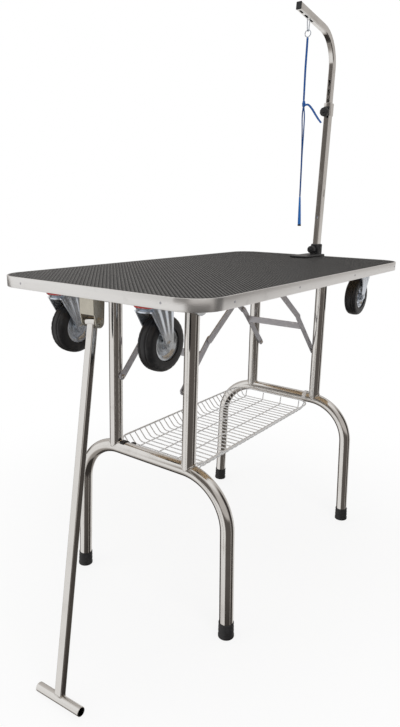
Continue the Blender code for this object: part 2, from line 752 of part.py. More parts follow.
def tyre_profile():
    """Cross-section of the tyre: round shoulders and two grooves in the tread."""
    half = TYRE_WIDTH / 2.0
    outer = WHEEL_RADIUS
    bead = RIM_WIDTH / 2.0
    down = [(TYRE_INNER, bead), (outer - TYRE_SHOULDER, half),
            (outer - TREAD_DEPTH, half - TREAD_DEPTH), (outer, half - TREAD_EDGE),
            (outer - TREAD_DEPTH / 2.0, half - TREAD_EDGE - TREAD_DEPTH / 2.0),
            (outer, half - TREAD_EDGE - TREAD_DEPTH)]
    up = [(radius, -height) for radius, height in reversed(down)]
    return down + up


def rim_profile():
    """Cross-section of the wheel centre: hub with bore, pressed web and rim flange."""
    outer = TYRE_INNER - GAP
    flange = RIM_WIDTH / 2.0 + 0.001
    hub = HUB_WIDTH / 2.0
    bore = AXLE_RADIUS + GAP
    half = [(bore, hub), (HUB_RADIUS, hub), (HUB_RADIUS + RIM_LIP, WEB_HALF),
            (outer - RIM_LIP, WEB_HALF + RIM_LIP / 4.0), (outer - RIM_LIP / 2.0, flange),
            (outer, flange)]
    other = [(radius, -height) for radius, height in reversed(half)]
    return half + other


def race_mesh():
    """Caster top plate with its four holes, the ball race and the red dust ring."""
    hole_x = PLATE_LENGTH / 2.0 - 0.012
    hole_y = PLATE_WIDTH / 2.0 - 0.012
    holes = [circle_points(PLATE_HOLE, 8, (sx * hole_x, sy * hole_y))
             for sx in (1, -1) for sy in (1, -1)]
    outline = rounded_rectangle(PLATE_LENGTH, PLATE_WIDTH, PLATE_CORNER, 3)
    flat = plate(outline, PLATE_THICKNESS, "XY", -PLATE_THICKNESS / 2.0, holes)
    profile = [(0.0, -0.001), (RACE_RADIUS, -0.001), (RED_RING_RADIUS, -0.0055),
               (RED_RING_RADIUS, -0.0095), (RACE_RADIUS, -RACE_DEPTH), (0.0, -RACE_DEPTH)]
    return joined(flat, turned(profile, 20))


def fork_mesh(trail):
    """Swivel fork: crown, two slanted legs that narrow to the axle bosses, and the axle bolt."""
    crown_top = -RACE_DEPTH - GAP
    deck = crown_top - FORK_DECK
    low = deck - FORK_STEEL
    crown = turned([(0.0, crown_top), (FORK_CROWN - FORK_DECK, crown_top), (FORK_CROWN, deck),
                    (FORK_CROWN, low), (0.0, low)], 16)
    side_out = FORK_SIDE + FORK_STEEL / 2.0
    bridge = box((-FORK_TOP_HALF, -side_out, low), (FORK_TOP_HALF, side_out, deck))
    sign = math.copysign(1.0, trail)
    outline = [(abs(trail) + FORK_BOSS * math.cos(math.pi * (1.0 + i / 8.0)),
                -CASTER_DROP + FORK_BOSS * math.sin(math.pi * (1.0 + i / 8.0))) for i in range(9)]
    outline += [(FORK_TOP_HALF, deck), (-FORK_TOP_HALF, deck)]
    outline = [(sign * u, v) for u, v in outline]
    legs = [plate(outline, FORK_STEEL, "XZ", side * FORK_SIDE) for side in (1, -1)]
    bolt = rod((trail, -side_out, -CASTER_DROP), (trail, side_out, -CASTER_DROP), AXLE_RADIUS, 16)
    heads = []
    for side in (1, -1):
        heads.append(rod((trail, side * (side_out - GAP), -CASTER_DROP),
                         (trail, side * (side_out + AXLE_HEAD_HEIGHT), -CASTER_DROP),
                         AXLE_HEAD, 6))
    return joined(crown, bridge, *legs, bolt, *heads)


def make_caster(name, place, trail):
    """One swivel caster under the board."""
    swivel = empty(name + "_swivel", (place[0], place[1], UNDERSIDE), TABLE_MIDDLE)
    hub = empty(name + "_hub", (trail, 0.0, -CASTER_DROP), swivel)
    new_piece(name + "_plate", race_mesh(), ZINC, swivel)
    new_piece(name + "_fork", fork_mesh(trail), ZINC, swivel)
    quarter = (math.pi / 2.0, 0.0, 0.0)
    new_piece(name + "_rim", turned(rim_profile(), 20), ZINC, hub, rotation=quarter)
    new_piece(name + "_tyre", turned(tyre_profile(), 28), BLACK_RUBBER, hub, rotation=quarter)


# Pull handle

def make_handle():
    """Bracket with its bolt, and the bar that swings on it with its T grip."""
    tilt = empty("handle_tilt", (HANDLE_X, 0.0, HANDLE_HEIGHT), TABLE_MIDDLE, (-HANDLE_TILT, 0, 0))
    swing = empty("handle_swing", (0, 0, 0), tilt, (0.0, HANDLE_LEAN, 0.0))
    behind = FRONT_PLATE_X + CHEEK / 2.0
    level = UNDERSIDE - CHEEK / 2.0
    outline = [(behind, level), (behind, FRONT_PLATE_BOTTOM)]
    for step in range(9):
        angle = math.pi + math.pi * step / 8.0
        outline.append((HANDLE_X + CHEEK_ROUND * math.cos(angle),
                        HANDLE_HEIGHT + CHEEK_ROUND * math.sin(angle)))
    outline += [(CHEEK_BACK, level)]
    cheeks = [plate(outline, CHEEK, "XZ", side * CHEEK_Y) for side in (1, -1)]
    reach = CHEEK_Y + CHEEK / 2.0
    deck = box((FRONT_PLATE_X + GAP, -reach - GAP, UNDERSIDE - CHEEK),
               (CHEEK_BACK + GAP, reach + GAP, UNDERSIDE))
    front = box((FRONT_PLATE_X, -CHEEK_Y, FRONT_PLATE_BOTTOM - GAP),
                (FRONT_PLATE_X + CHEEK, CHEEK_Y, level))
    end = reach + BOLT_HEAD_HEIGHT
    fittings = [rod((0, -end - BOLT_TIP, 0), (0, reach, 0), BOLT_RADIUS, 12),
                rod((0, -reach + CHEEK / 2.0, 0), (0, -end, 0), BOLT_HEAD, 6),
                rod((0, reach - CHEEK / 2.0, 0), (0, end, 0), BOLT_HEAD, 6)]
    for fitting in fittings:
        moved(fitting, (HANDLE_X, 0.0, HANDLE_HEIGHT), (-HANDLE_TILT, 0.0, 0.0))
    new_piece("handle_bracket", joined(deck, front, *cheeks, *fittings), STAINLESS)
    low_end = GRIP_LENGTH / 2.0 * math.sin(HANDLE_TILT) + GRIP_RADIUS * math.cos(HANDLE_TILT)
    length = (HANDLE_HEIGHT - low_end) / (math.cos(HANDLE_LEAN) * math.cos(HANDLE_TILT))
    outer = box((-BAR_X / 2.0, -BAR_Y / 2.0, -length), (BAR_X / 2.0, BAR_Y / 2.0, 0.0))
    inside = box((-BAR_X / 2.0 + BAR_WALL, -BAR_Y / 2.0 + BAR_WALL, -length - BAR_Y),
                 (BAR_X / 2.0 - BAR_WALL, BAR_Y / 2.0 - BAR_WALL, -SLEEVE_RADIUS - BAR_WALL))
    sleeve = rod((0, -SLEEVE_LENGTH / 2.0, 0), (0, SLEEVE_LENGTH / 2.0, 0), SLEEVE_RADIUS, 20)
    bore = rod((0, -SLEEVE_LENGTH, 0), (0, SLEEVE_LENGTH, 0), SLEEVE_BORE, 20)
    mouth = rod((0, -SLEEVE_LENGTH, -length), (0, SLEEVE_LENGTH, -length), GRIP_RADIUS + GAP, 20)
    new_piece("handle_bar", cut(joined(cut(outer, inside), sleeve), bore, mouth), STAINLESS, swing)
    grip = turned(ring_profile(GRIP_RADIUS - GRIP_WALL, GRIP_RADIUS, -GRIP_LENGTH / 2.0,
                               GRIP_LENGTH / 2.0), 20)
    new_piece("handle_grip", grip, STAINLESS, swing, (0.0, 0.0, -length),
              (math.pi / 2.0, 0.0, 0.0))


# Grooming arm. Its own frame has -X on the inner face of the tubes and +Z up along the leaning tube.

def arm_point(height):
    """Centre of the leaning tube at a height above the floor."""
    return (ARM_FOOT_X + (height - ARM_FOOT_Z) * math.tan(ARM_LEAN), 0.0, height)


def square_tube(route, size_x, size_y, wall):
    """A square tube with chamfered corners along a route in the XZ plane: a skin with a wall."""
    half_x = size_x / 2.0
    half_y = size_y / 2.0
    corners = [(half_x, -half_y + TUBE_CORNER), (half_x, half_y - TUBE_CORNER),
               (half_x - TUBE_CORNER, half_y), (-half_x + TUBE_CORNER, half_y),
               (-half_x, half_y - TUBE_CORNER), (-half_x, -half_y + TUBE_CORNER),
               (-half_x + TUBE_CORNER, -half_y), (half_x - TUBE_CORNER, -half_y)]
    route = [Vector(point) for point in route]
    rows = []
    for i, point in enumerate(route):
        ahead = route[i + 1] - point if i + 1 < len(route) else point - route[i - 1]
        behind = point - route[i - 1] if i > 0 else ahead
        heading = (ahead.normalized() + behind.normalized()).normalized()
        side = Vector((heading.z, 0.0, -heading.x))
        stretch = 1.0 / heading.dot(ahead.normalized())
        rows.append([point + side * (u * stretch) + Vector((0.0, v, 0.0)) for u, v in corners])

    def build(work):
        verts = [[work.verts.new(place) for place in row] for row in rows]
        count = len(corners)
        for low, high in zip(verts, verts[1:]):
            for i in range(count):
                j = (i + 1) % count
                work.faces.new((low[i], low[j], high[j], high[i]))
    return hollowed(mesh_from(build), wall)


def arm_route(start_height):
    """Centre line of the upper tube: straight, a bend, then the slightly rising end."""
    corner = Vector((ARM_CORNER[0], 0.0, ARM_CORNER[1]))
    up = Vector((math.sin(ARM_LEAN), 0.0, math.cos(ARM_LEAN)))
    out = Vector((-math.cos(ARM_RISE), 0.0, math.sin(ARM_RISE)))
    turn = up.angle(out)
    tangent = ARM_BEND * math.tan(turn / 2.0)
    begin = corner - up * tangent
    inward = Vector((-up.z, 0.0, up.x))
    centre = begin + inward * ARM_BEND
    points = [Vector(arm_point(start_height))]
    steps = 9
    for step in range(steps + 1):
        angle = turn * step / steps
        swing = up * math.sin(angle) - inward * math.cos(angle)
        points.append(centre + swing * ARM_BEND)
    tip = corner + out * ((corner.x - ARM_TIP_X) / math.cos(ARM_RISE))
    points.append(tip)
    return points


def tip_height(x):
    """Height of the rising end's centre line over a point x."""
    return ARM_CORNER[1] + (ARM_CORNER[0] - x) * math.tan(ARM_RISE)


def lean_frame(mesh, height):
    """Place a mesh made round the origin on the leaning tube at a height."""
    return moved(mesh, arm_point(height), (0.0, ARM_LEAN, 0.0))


def make_arm():
    """Clamp, tubes, collar and knobs."""
    top = TOP_HEIGHT + GAP
    edge = TOP_LENGTH / 2.0 + GAP
    plate_part = box((CLAMP_PLATE_X, -CLAMP_HALF_WIDTH, top),
                     (edge + CLAMP_WEB, CLAMP_HALF_WIDTH, top + CLAMP_PLATE), 0.0015)
    web = box((edge, -CLAMP_HALF_WIDTH, top + CLAMP_PLATE - CLAMP_THROAT - 2.0 * CLAMP_PLATE),
              (edge + CLAMP_WEB, CLAMP_HALF_WIDTH, top + CLAMP_PLATE / 2.0))
    jaw_top = top + CLAMP_PLATE - CLAMP_THROAT - CLAMP_PLATE
    jaw = box((edge - CLAMP_JAW_REACH, -CLAMP_HALF_WIDTH * 0.7, jaw_top - CLAMP_PLATE),
              (edge + CLAMP_WEB / 2.0, CLAMP_HALF_WIDTH * 0.7, jaw_top), 0.0015)
    socket_low = top + CLAMP_PLATE / 2.0
    socket = moved(box((-SOCKET_HALF, -SOCKET_HALF, 0.0),
                       (SOCKET_HALF, SOCKET_HALF, SOCKET_TOP - socket_low), 0.003),
                   (arm_point(socket_low)[0], 0.0, socket_low))
    rim = turned([(0.0, SOCKET_TOP + 0.004), (0.0175, SOCKET_TOP + 0.004),
                  (0.0195, SOCKET_TOP + 0.001), (0.0195, SOCKET_TOP - 0.004),
                  (0.0, SOCKET_TOP - 0.004)], 20)
    moved(rim, (arm_point(SOCKET_TOP)[0], 0.0, 0.0))
    bore = lean_frame(box((-LOWER_TUBE_X / 2.0 - GAP, -LOWER_TUBE_Y / 2.0 - GAP, 0.0),
                          (LOWER_TUBE_X / 2.0 + GAP, LOWER_TUBE_Y / 2.0 + GAP, 0.05)),
                      LOWER_TUBE_FOOT - GAP)
    knob_x = arm_point(SOCKET_KNOB_HEIGHT)[0] - SOCKET_HALF
    stem_hole = rod((knob_x - 0.01, 0, SOCKET_KNOB_HEIGHT), (knob_x + 0.006, 0, SOCKET_KNOB_HEIGHT),
                    KNOB_STEM + GAP, 12)
    screw_x = edge - CLAMP_JAW_REACH + 0.022
    screw_hole = rod((screw_x, 0, jaw_top - 0.02), (screw_x, 0, jaw_top + 0.01),
                     SCREW_RADIUS + GAP, 12)
    body = joined(plate_part, web, jaw, socket, rim)
    new_piece("clamp_body", cut(body, bore, stem_hole, screw_hole), BLACK_PLASTIC)
    make_clamp_screw(screw_x)
    make_socket_knob(knob_x)
    make_arm_tubes()


def make_clamp_screw(screw_x):
    """The screw that presses the clamp against the board from below, with its pad and knob."""
    pad_top = TOP_HEIGHT - TRIM_HEIGHT - GAP if screw_x > TOP_LENGTH / 2.0 - TRIM_BOTTOM_LAP \
        else UNDERSIDE
    place = empty("clamp_screw_place", (screw_x, 0.0, 0.0), TABLE_MIDDLE)
    low = pad_top - SCREW_DROP
    profile = [(0.0, pad_top), (SCREW_PAD, pad_top), (SCREW_PAD, pad_top - 0.004),
               (SCREW_RADIUS, pad_top - 0.006), (SCREW_RADIUS, low + 0.016),
               (SCREW_KNOB - 0.004, low + 0.016), (SCREW_KNOB, low + 0.012),
               (SCREW_KNOB, low + 0.003), (SCREW_KNOB - 0.003, low), (0.0, low)]
    new_piece("clamp_screw", turned(profile, 20), BLACK_PLASTIC, place)


def make_socket_knob(knob_x):
    """Knob with its stem that locks the tube in the socket."""
    place = empty("socket_knob_axis", (knob_x, 0.0, SOCKET_KNOB_HEIGHT), TABLE_MIDDLE)
    tip = SOCKET_HALF - LOWER_TUBE_X / 2.0 - GAP - KNOB_STEM * math.tan(ARM_LEAN)
    radius = SOCKET_KNOB_RADIUS
    foot = SOCKET_KNOB_STAND
    face = foot + SOCKET_KNOB_LENGTH
    soft = KNOB_SOFT
    profile = [(0.0, face), (KNOB_STEM - soft / 2.0, face), (KNOB_STEM, face - soft / 2.0),
               (radius - soft, face - soft / 2.0), (radius, face - 1.5 * soft),
               (radius, foot + soft), (radius - soft, foot),
               (KNOB_STEM, foot), (KNOB_STEM, -tip), (0.0, -tip)]
    mesh = moved(turned(profile, 20), (0, 0, 0), (0.0, -math.pi / 2.0, 0.0))
    new_piece("socket_knob", mesh, BLACK_PLASTIC, place)


def make_arm_tubes():
    """Lower and upper tube with their slots, the collar, its knob and the end cap."""
    foot = arm_point(LOWER_TUBE_FOOT)
    lower = square_tube([foot, arm_point(LOWER_TUBE_TOP)], LOWER_TUBE_X, LOWER_TUBE_Y,
                        LOWER_TUBE_WALL)
    boss_shape = box((-LOWER_TUBE_X / 2.0 - BOSS_PROUD, -BOSS_WIDTH / 2.0, -BOSS_LENGTH / 2.0),
                     (-LOWER_TUBE_X / 2.0 + LOWER_TUBE_WALL / 2.0, BOSS_WIDTH / 2.0,
                      BOSS_LENGTH / 2.0))
    boss = lean_frame(boss_shape, BOSS_HEIGHT)
    side_cut = lean_frame(box((-SLOT_WIDTH / 2.0, -LOWER_TUBE_Y, -SIDE_SLOT_LENGTH / 2.0),
                              (SLOT_WIDTH / 2.0, 0.0, SIDE_SLOT_LENGTH / 2.0)), SIDE_SLOT)
    knob_hole = lean_frame(rod((-LOWER_TUBE_X, 0, 0), (0, 0, 0), KNOB_STEM + GAP, 12), KNOB_HEIGHT)
    new_piece("lower_arm_tube", cut(joined(lower, boss), side_cut, knob_hole), STAINLESS)

    collar_x = LOWER_TUBE_X / 2.0 + GAP + COLLAR_WALL
    collar_y = LOWER_TUBE_Y / 2.0 + GAP + COLLAR_WALL
    collar = lean_frame(box((-collar_x, -collar_y, 0.0),
                            (collar_x, collar_y, COLLAR_HIGH - COLLAR_LOW), 0.002), COLLAR_LOW)
    low_bore = lean_frame(box((-LOWER_TUBE_X / 2.0 - GAP, -LOWER_TUBE_Y / 2.0 - GAP, -0.01),
                              (LOWER_TUBE_X / 2.0 + GAP, LOWER_TUBE_Y / 2.0 + GAP,
                               LOWER_TUBE_TOP - COLLAR_LOW + GAP)), COLLAR_LOW)
    high_bore = lean_frame(box((-UPPER_TUBE_X / 2.0 - GAP, -UPPER_TUBE_Y / 2.0 - GAP, 0.0),
                               (UPPER_TUBE_X / 2.0 + GAP, UPPER_TUBE_Y / 2.0 + GAP, 0.06)),
                           COLLAR_LOW)
    stem_hole = lean_frame(rod((-LOWER_TUBE_X, 0, 0), (0, 0, 0), KNOB_STEM + GAP, 12), KNOB_HEIGHT)
    new_piece("height_collar", cut(collar, low_bore, high_bore, stem_hole), BLACK_PLASTIC)

    face = collar_x + 0.002
    tip = UPPER_TUBE_X / 2.0 + GAP
    end = collar_x + KNOB_PROUD
    profile = [(0.0, end), (0.004, end), (0.005, end - 0.002), (KNOB_RADIUS - 0.003, end - 0.002),
               (KNOB_RADIUS, end - 0.005), (KNOB_RADIUS, face + 0.006), (KNOB_RADIUS - 0.004, face),
               (KNOB_STEM, face), (KNOB_STEM, tip), (0.0, tip)]
    place = empty("height_knob_axis", arm_point(KNOB_HEIGHT), TABLE_MIDDLE,
                  (0.0, ARM_LEAN - math.pi / 2.0, 0.0))
    new_piece("height_knob", turned(profile, 20), BLACK_PLASTIC, place)
    make_upper_tube()


def make_upper_tube():
    """The sliding tube with its bend, its slots and the cap in its end."""
    slide = empty("arm_height", (0, 0, 0), TABLE_MIDDLE)
    route = arm_route(UPPER_TUBE_START)
    tube = square_tube(route, UPPER_TUBE_X, UPPER_TUBE_Y, UPPER_TUBE_WALL)
    cuts = []
    for height in UPRIGHT_SLOTS:
        shape = box((-UPPER_TUBE_X, -SLOT_WIDTH / 2.0, -SLOT_LENGTH / 2.0),
                    (0.0, SLOT_WIDTH / 2.0, SLOT_LENGTH / 2.0))
        cuts.append(lean_frame(shape, height))
    for x in TIP_SLOTS:
        shape = box((-SLOT_LENGTH / 2.0, -SLOT_WIDTH / 2.0, -UPPER_TUBE_X),
                    (SLOT_LENGTH / 2.0, SLOT_WIDTH / 2.0, 0.0))
        cuts.append(moved(shape, (x, 0.0, tip_height(x)), (0.0, ARM_RISE, 0.0)))
    new_piece("upper_arm_tube", cut(tube, *cuts), STAINLESS, slide)
    inner_x = UPPER_TUBE_X / 2.0 - UPPER_TUBE_WALL - GAP
    inner_y = UPPER_TUBE_Y / 2.0 - UPPER_TUBE_WALL - GAP
    head = box((-0.003, -UPPER_TUBE_Y / 2.0, -UPPER_TUBE_X / 2.0),
               (-GAP, UPPER_TUBE_Y / 2.0, UPPER_TUBE_X / 2.0), 0.0008)
    plug = box((-0.001, -inner_y * 0.8, -inner_x * 0.8), (0.006, inner_y * 0.8, inner_x * 0.8))
    cap = moved(joined(head, plug), tuple(route[-1]), (0.0, ARM_RISE, 0.0))
    new_piece("arm_end_cap", cap, BLACK_PLASTIC, slide)


# Lead

def smooth_route(points, spacing):
    """Points at even steps along a smooth curve through a route's own points."""
    points = [np.array(point, float) for point in points]
    ends = [2.0 * points[0] - points[1]] + points + [2.0 * points[-1] - points[-2]]
    dense = []
    for a, b, c, d in zip(ends, ends[1:], ends[2:], ends[3:]):
        for t in np.linspace(0.0, 1.0, 12, endpoint=False):
            dense.append(0.5 * (2.0 * b + (c - a) * t + (2.0 * a - 5.0 * b + 4.0 * c - d) * t ** 2
                                + (3.0 * b - a - 3.0 * c + d) * t ** 3))
    dense.append(points[-1])
    dense = np.array(dense)
    steps = np.linalg.norm(np.diff(dense, axis=0), axis=1)
    travel = np.concatenate([[0.0], np.cumsum(steps)])
    count = max(2, round(travel[-1] / spacing))
    stations = np.linspace(0.0, travel[-1], count + 1)
    return [tuple(np.interp(s, travel, dense[:, k]) for k in range(3)) for s in stations]


UPPER_ROUTE = [(0.3931, 0.0004, 1.4950), (0.3926, 0.0012, 1.4400),
               (0.3918, 0.0006, 1.3900), (0.3912, 0.0, SLIDER_TOP + GAP)]
FRONT_ROUTE = [(0.3925, -STRAND_GAP, SLIDER_BOTTOM - GAP), (0.3938, -0.0050, 1.3000),
               (0.3965, -0.0046, 1.2500), (0.3990, -0.0036, 1.1900), (0.4010, -0.0034, 1.1200),
               (0.4020, -0.0034, BAND_HEAD[2] + GAP)]
BACK_ROUTE = [(0.3925, STRAND_GAP, SLIDER_BOTTOM - GAP), (0.3940, 0.0052, 1.3000),
              (0.3968, 0.0046, 1.2500), (0.3992, 0.0036, 1.1900), (0.4012, 0.0034, 1.1200),
              (0.4020, 0.0034, BAND_HEAD[2] + GAP)]
TAIL_ROUTE = [(0.3915, -SLIDER_HALF_Y - GAP, 1.3350), (0.3915, -0.0160, 1.3350),
              (0.3914, -0.0220, 1.3300), (0.3912, -0.0320, 1.3190),
              (0.3908, -0.0430, 1.3040), (0.3905, -0.0540, 1.2900), (0.3900, -0.0640, 1.2790)]


def hook_centre():
    """Centre (x, z) of the hook's round top: the web between two slots rests inside it."""
    web_half = (TIP_SLOTS[2] - TIP_SLOTS[1] - SLOT_LENGTH) / 2.0
    reach = HOOK_HALF - HOOK_WIRE - 2.0 * GAP
    depth = UPPER_TUBE_X / 2.0 - UPPER_TUBE_WALL + math.sqrt(reach ** 2 - web_half ** 2)
    middle = (TIP_SLOTS[1] + TIP_SLOTS[2]) / 2.0
    return (middle - depth * math.sin(ARM_RISE), tip_height(middle) - depth * math.cos(ARM_RISE))


def make_lead():
    """Hook, ring, slider and the stretches of the strap."""
    hook_x, high = hook_centre()
    low = HOOK_BOTTOM + HOOK_WIRE
    points = []
    for step in range(13):
        angle = math.pi * step / 12.0
        points.append((HOOK_HALF * math.cos(angle), 0.0, HOOK_HALF * math.sin(angle)))
    for step in range(9):
        angle = math.pi + math.pi * step / 8.0
        points.append((HOOK_NARROW * math.cos(angle), 0.0,
                       low - high + HOOK_NARROW * (1.0 + math.sin(angle))))
    hook_axis = empty("hook_swing", (hook_x, 0.0, high), bpy.data.objects["arm_height"])
    new_piece("snap_hook", swept(points, HOOK_WIRE, 1, cyclic=True), ZINC, hook_axis)
    ring_top = low + HOOK_WIRE + GAP + RING_WIRE
    lead_axis = empty("lead_swing", (0.0, 0.0, ring_top - high), hook_axis)
    turn = [2.0 * math.pi * i / 16.0 for i in range(16)]
    circle = [(0.0, RING_RADIUS * math.sin(a), RING_RADIUS * (math.cos(a) - 1.0)) for a in turn]
    new_piece("lead_ring", swept(circle, RING_WIRE, 1, cyclic=True), ZINC, lead_axis)
    shift = (-hook_x, 0.0, -ring_top)
    start = (hook_x, 0.0, ring_top - 2.0 * RING_RADIUS - RING_WIRE - GAP)
    routes = [("lead_upper", [start] + UPPER_ROUTE, LEAD_RADIUS, LEAD_STEP),
              ("lead_strand_front", FRONT_ROUTE, LEAD_RADIUS, LEAD_STEP),
              ("lead_strand_back", BACK_ROUTE, LEAD_RADIUS, LEAD_STEP),
              ("lead_tail", TAIL_ROUTE, LEAD_RADIUS, LEAD_STEP / 2.0)]
    for name, route, radius, step in routes:
        tube = moved(swept(smooth_route(route, step), radius, 2), shift)
        new_piece(name, tube, BLUE_TAPE, lead_axis)
    slider = box((-SLIDER_HALF_X, -SLIDER_HALF_Y, SLIDER_BOTTOM),
                 (SLIDER_HALF_X, SLIDER_HALF_Y, SLIDER_TOP), SLIDER_SOFT)
    new_piece("lead_slider", moved(slider, (SLIDER_X - hook_x, 0.0, -ring_top)), BLACK_PLASTIC,
              lead_axis)
    band_end = (BAND_FOOT[0], BAND_FOOT[1], BAND_FOOT[2] + STOP_LENGTH)
    band = rod(BAND_HEAD, band_end, BAND_RADIUS, 12, BAND_RADIUS * 1.15)
    stop = rod((band_end[0], band_end[1], band_end[2] + GAP), BAND_FOOT, BAND_RADIUS * 1.35, 12,
               BAND_RADIUS * 0.9)
    new_piece("lead_loop_end", moved(joined(band, stop), shift), BLUE_TAPE, lead_axis)


# Basket

def basket_ends():
    """X of the rim wires at the basket's two ends."""
    near_arch = NEAR_PIVOT_X - math.tan(NEAR_LEAN) * ARCH_DROP
    return near_arch + BASKET_NEAR_GAP, FAR_PIVOT_X - BASKET_FAR_GAP


def make_basket():
    """Wire tray: rim, sloped side wires, floor wires, and the rod at its far end."""
    near_x, far_x = basket_ends()
    length = far_x - near_x
    width = BASKET_BACK - BASKET_FRONT
    middle_y = (BASKET_FRONT + BASKET_BACK) / 2.0
    far_axis = empty("basket_far_axis", (far_x, 0.0, BASKET_RIM_Z), TABLE_MIDDLE)
    rod_half = width / 2.0 - BASKET_CORNER - 2.0 * RIM_WIRE
    rim = [(x - length / 2.0, middle_y + y, 0.0)
           for x, y in rounded_rectangle(length, width, BASKET_CORNER, 5)]
    rim = [(0.0, middle_y + rod_half + GAP, 0.0)] + rim + [(0.0, middle_y - rod_half - GAP, 0.0)]
    parts = []
    floor_half = width / 2.0 - BASKET_SLOPE
    pitch = length / CROSS_WIRES
    for i in range(CROSS_WIRES):
        x = -length + pitch * (i + 0.5)
        edge = min(-x, length + x)
        inset = 0.0
        if edge < BASKET_CORNER:
            inset = BASKET_CORNER - math.sqrt(BASKET_CORNER ** 2 - (BASKET_CORNER - edge) ** 2)
        half = width / 2.0 - inset
        floor = min(floor_half, half - BASKET_SLOPE / 2.0)
        route = [(x, middle_y - half, 0.0), (x, middle_y - floor, -BASKET_DEPTH),
                 (x, middle_y + floor, -BASKET_DEPTH), (x, middle_y + half, 0.0)]
        parts.append(swept(route, THIN_WIRE, 0))
    under = -BASKET_DEPTH - 1.4 * THIN_WIRE
    end_x = -RIM_WIRE - GAP - THIN_WIRE
    for i in range(LONG_WIRES):
        y = middle_y + LONG_WIRE_SPREAD * (i / (LONG_WIRES - 1) - 0.5)
        route = [(-length, y, 0.0), (-length + END_SLOPE, y, under),
                 (end_x - END_SLOPE, y, under), (end_x, y, -RIM_WIRE)]
        parts.append(swept(route, THIN_WIRE, 0))
    basket = joined(swept(rim, RIM_WIRE, 1), *parts)
    new_piece("basket", basket, WHITE_WIRE, far_axis)
    rod_ends = [(0.0, middle_y - rod_half, 0.0), (0.0, middle_y + rod_half, 0.0)]
    new_piece("basket_far_rod", swept(rod_ends, RIM_WIRE, 1), WHITE_WIRE, far_axis)


def make_table():
    """Every piece of the grooming table."""
    make_tabletop()
    make_leg_frame("near", NEAR_PIVOT_X, NEAR_LEAN, (NEAR_BRACE_OUT, NEAR_BRACE_DROP),
                   NEAR_BRACE_TOP, NEAR_LOWER_LINK, NEAR_UPPER_LINK)
    make_leg_frame("far", FAR_PIVOT_X, 0.0, (FAR_BRACE_OUT, FAR_BRACE_DROP),
                   FAR_BRACE_TOP, FAR_LOWER_LINK, FAR_UPPER_LINK)
    for end, place, trail in (("near", NEAR_CASTER, CASTER_TRAIL),
                              ("far", FAR_CASTER, -CASTER_TRAIL)):
        for side, label in ((-1, "front"), (1, "back")):
            make_caster(end + "_caster_" + label, (place[0], side * place[1]), trail)
    make_handle()
    make_arm()
    make_lead()
    make_basket()


make_table()
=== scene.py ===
# %% [markdown]
# Dog grooming table: a mat-covered top on two folding tube frames, with four casters, a pull
# handle, a wire basket and a leaning arm that holds a lead. The solids come from the packed
# model. This script dresses them: it lays finer surfaces over the main solids and gives every
# piece a finish with its own grain, wear and gloss. First the frame is loaded.

# %% Load the solids
import math

import bmesh
import bpy
import numpy as np
from mathutils import Matrix, Vector


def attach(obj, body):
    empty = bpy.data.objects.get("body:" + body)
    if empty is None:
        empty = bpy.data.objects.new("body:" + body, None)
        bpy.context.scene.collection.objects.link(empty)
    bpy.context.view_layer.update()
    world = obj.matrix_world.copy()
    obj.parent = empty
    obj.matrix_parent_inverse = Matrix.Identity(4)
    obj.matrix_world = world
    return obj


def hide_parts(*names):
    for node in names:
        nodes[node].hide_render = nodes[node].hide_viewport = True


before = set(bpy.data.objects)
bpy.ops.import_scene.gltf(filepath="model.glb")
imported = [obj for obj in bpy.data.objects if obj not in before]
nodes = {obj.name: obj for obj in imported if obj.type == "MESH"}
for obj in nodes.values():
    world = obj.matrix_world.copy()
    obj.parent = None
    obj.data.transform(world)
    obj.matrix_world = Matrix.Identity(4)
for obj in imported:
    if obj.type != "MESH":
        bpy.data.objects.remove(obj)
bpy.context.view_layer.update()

# %% [markdown]
# The camera stands where the photograph was taken from: beside the handle's end, a little over
# the table's top, looking down the length of the table. Its place is written in the table's own
# frame, in which X is counted from the middle of the tabletop, TABLE_X along the solids' frame.
# A constraint could aim the camera, but a matrix made from three angles says how it is turned.

# %% Camera
TABLE_X = 0.0770
EYE = (-1.3642, -0.8965, 1.0239)
YAW, PITCH, ROLL = (math.radians(a) for a in (36.1524, 15.2543, 0.8306))
LENS, FILM = 28.46, 36.0


def into_scene(name, data):
    """Make an object of some data and link it to the scene."""
    item = bpy.data.objects.new(name, data)
    bpy.context.scene.collection.objects.link(item)
    return item


across = np.array([math.sin(YAW), -math.cos(YAW), 0.0])
ahead = np.array([math.cos(YAW) * math.cos(PITCH), math.sin(YAW) * math.cos(PITCH),
                  -math.sin(PITCH)])
upward = np.cross(across, ahead)
rolled_x = math.cos(ROLL) * across + math.sin(ROLL) * upward
rolled_y = -math.sin(ROLL) * across + math.cos(ROLL) * upward
turn = Matrix([list(v) for v in np.stack([rolled_x, rolled_y, -ahead], 1)])

camera_data = bpy.data.cameras.new("camera")
camera_data.lens = LENS
camera_data.sensor_width = FILM
camera_data.clip_start = 0.02
camera_data.clip_end = 60.0
camera = into_scene("camera", camera_data)
camera.matrix_world = (Matrix.Translation(Vector((EYE[0] + TABLE_X, EYE[1], EYE[2])))
                       @ turn.to_4x4())
bpy.context.scene.camera = camera
print("camera at", [round(v, 3) for v in camera.location])

# %% [markdown]
# Shader maths is easier to read as sums than as boxes and threads. A Reading wraps one output
# socket, and each operator on it adds the Math node that works it out.

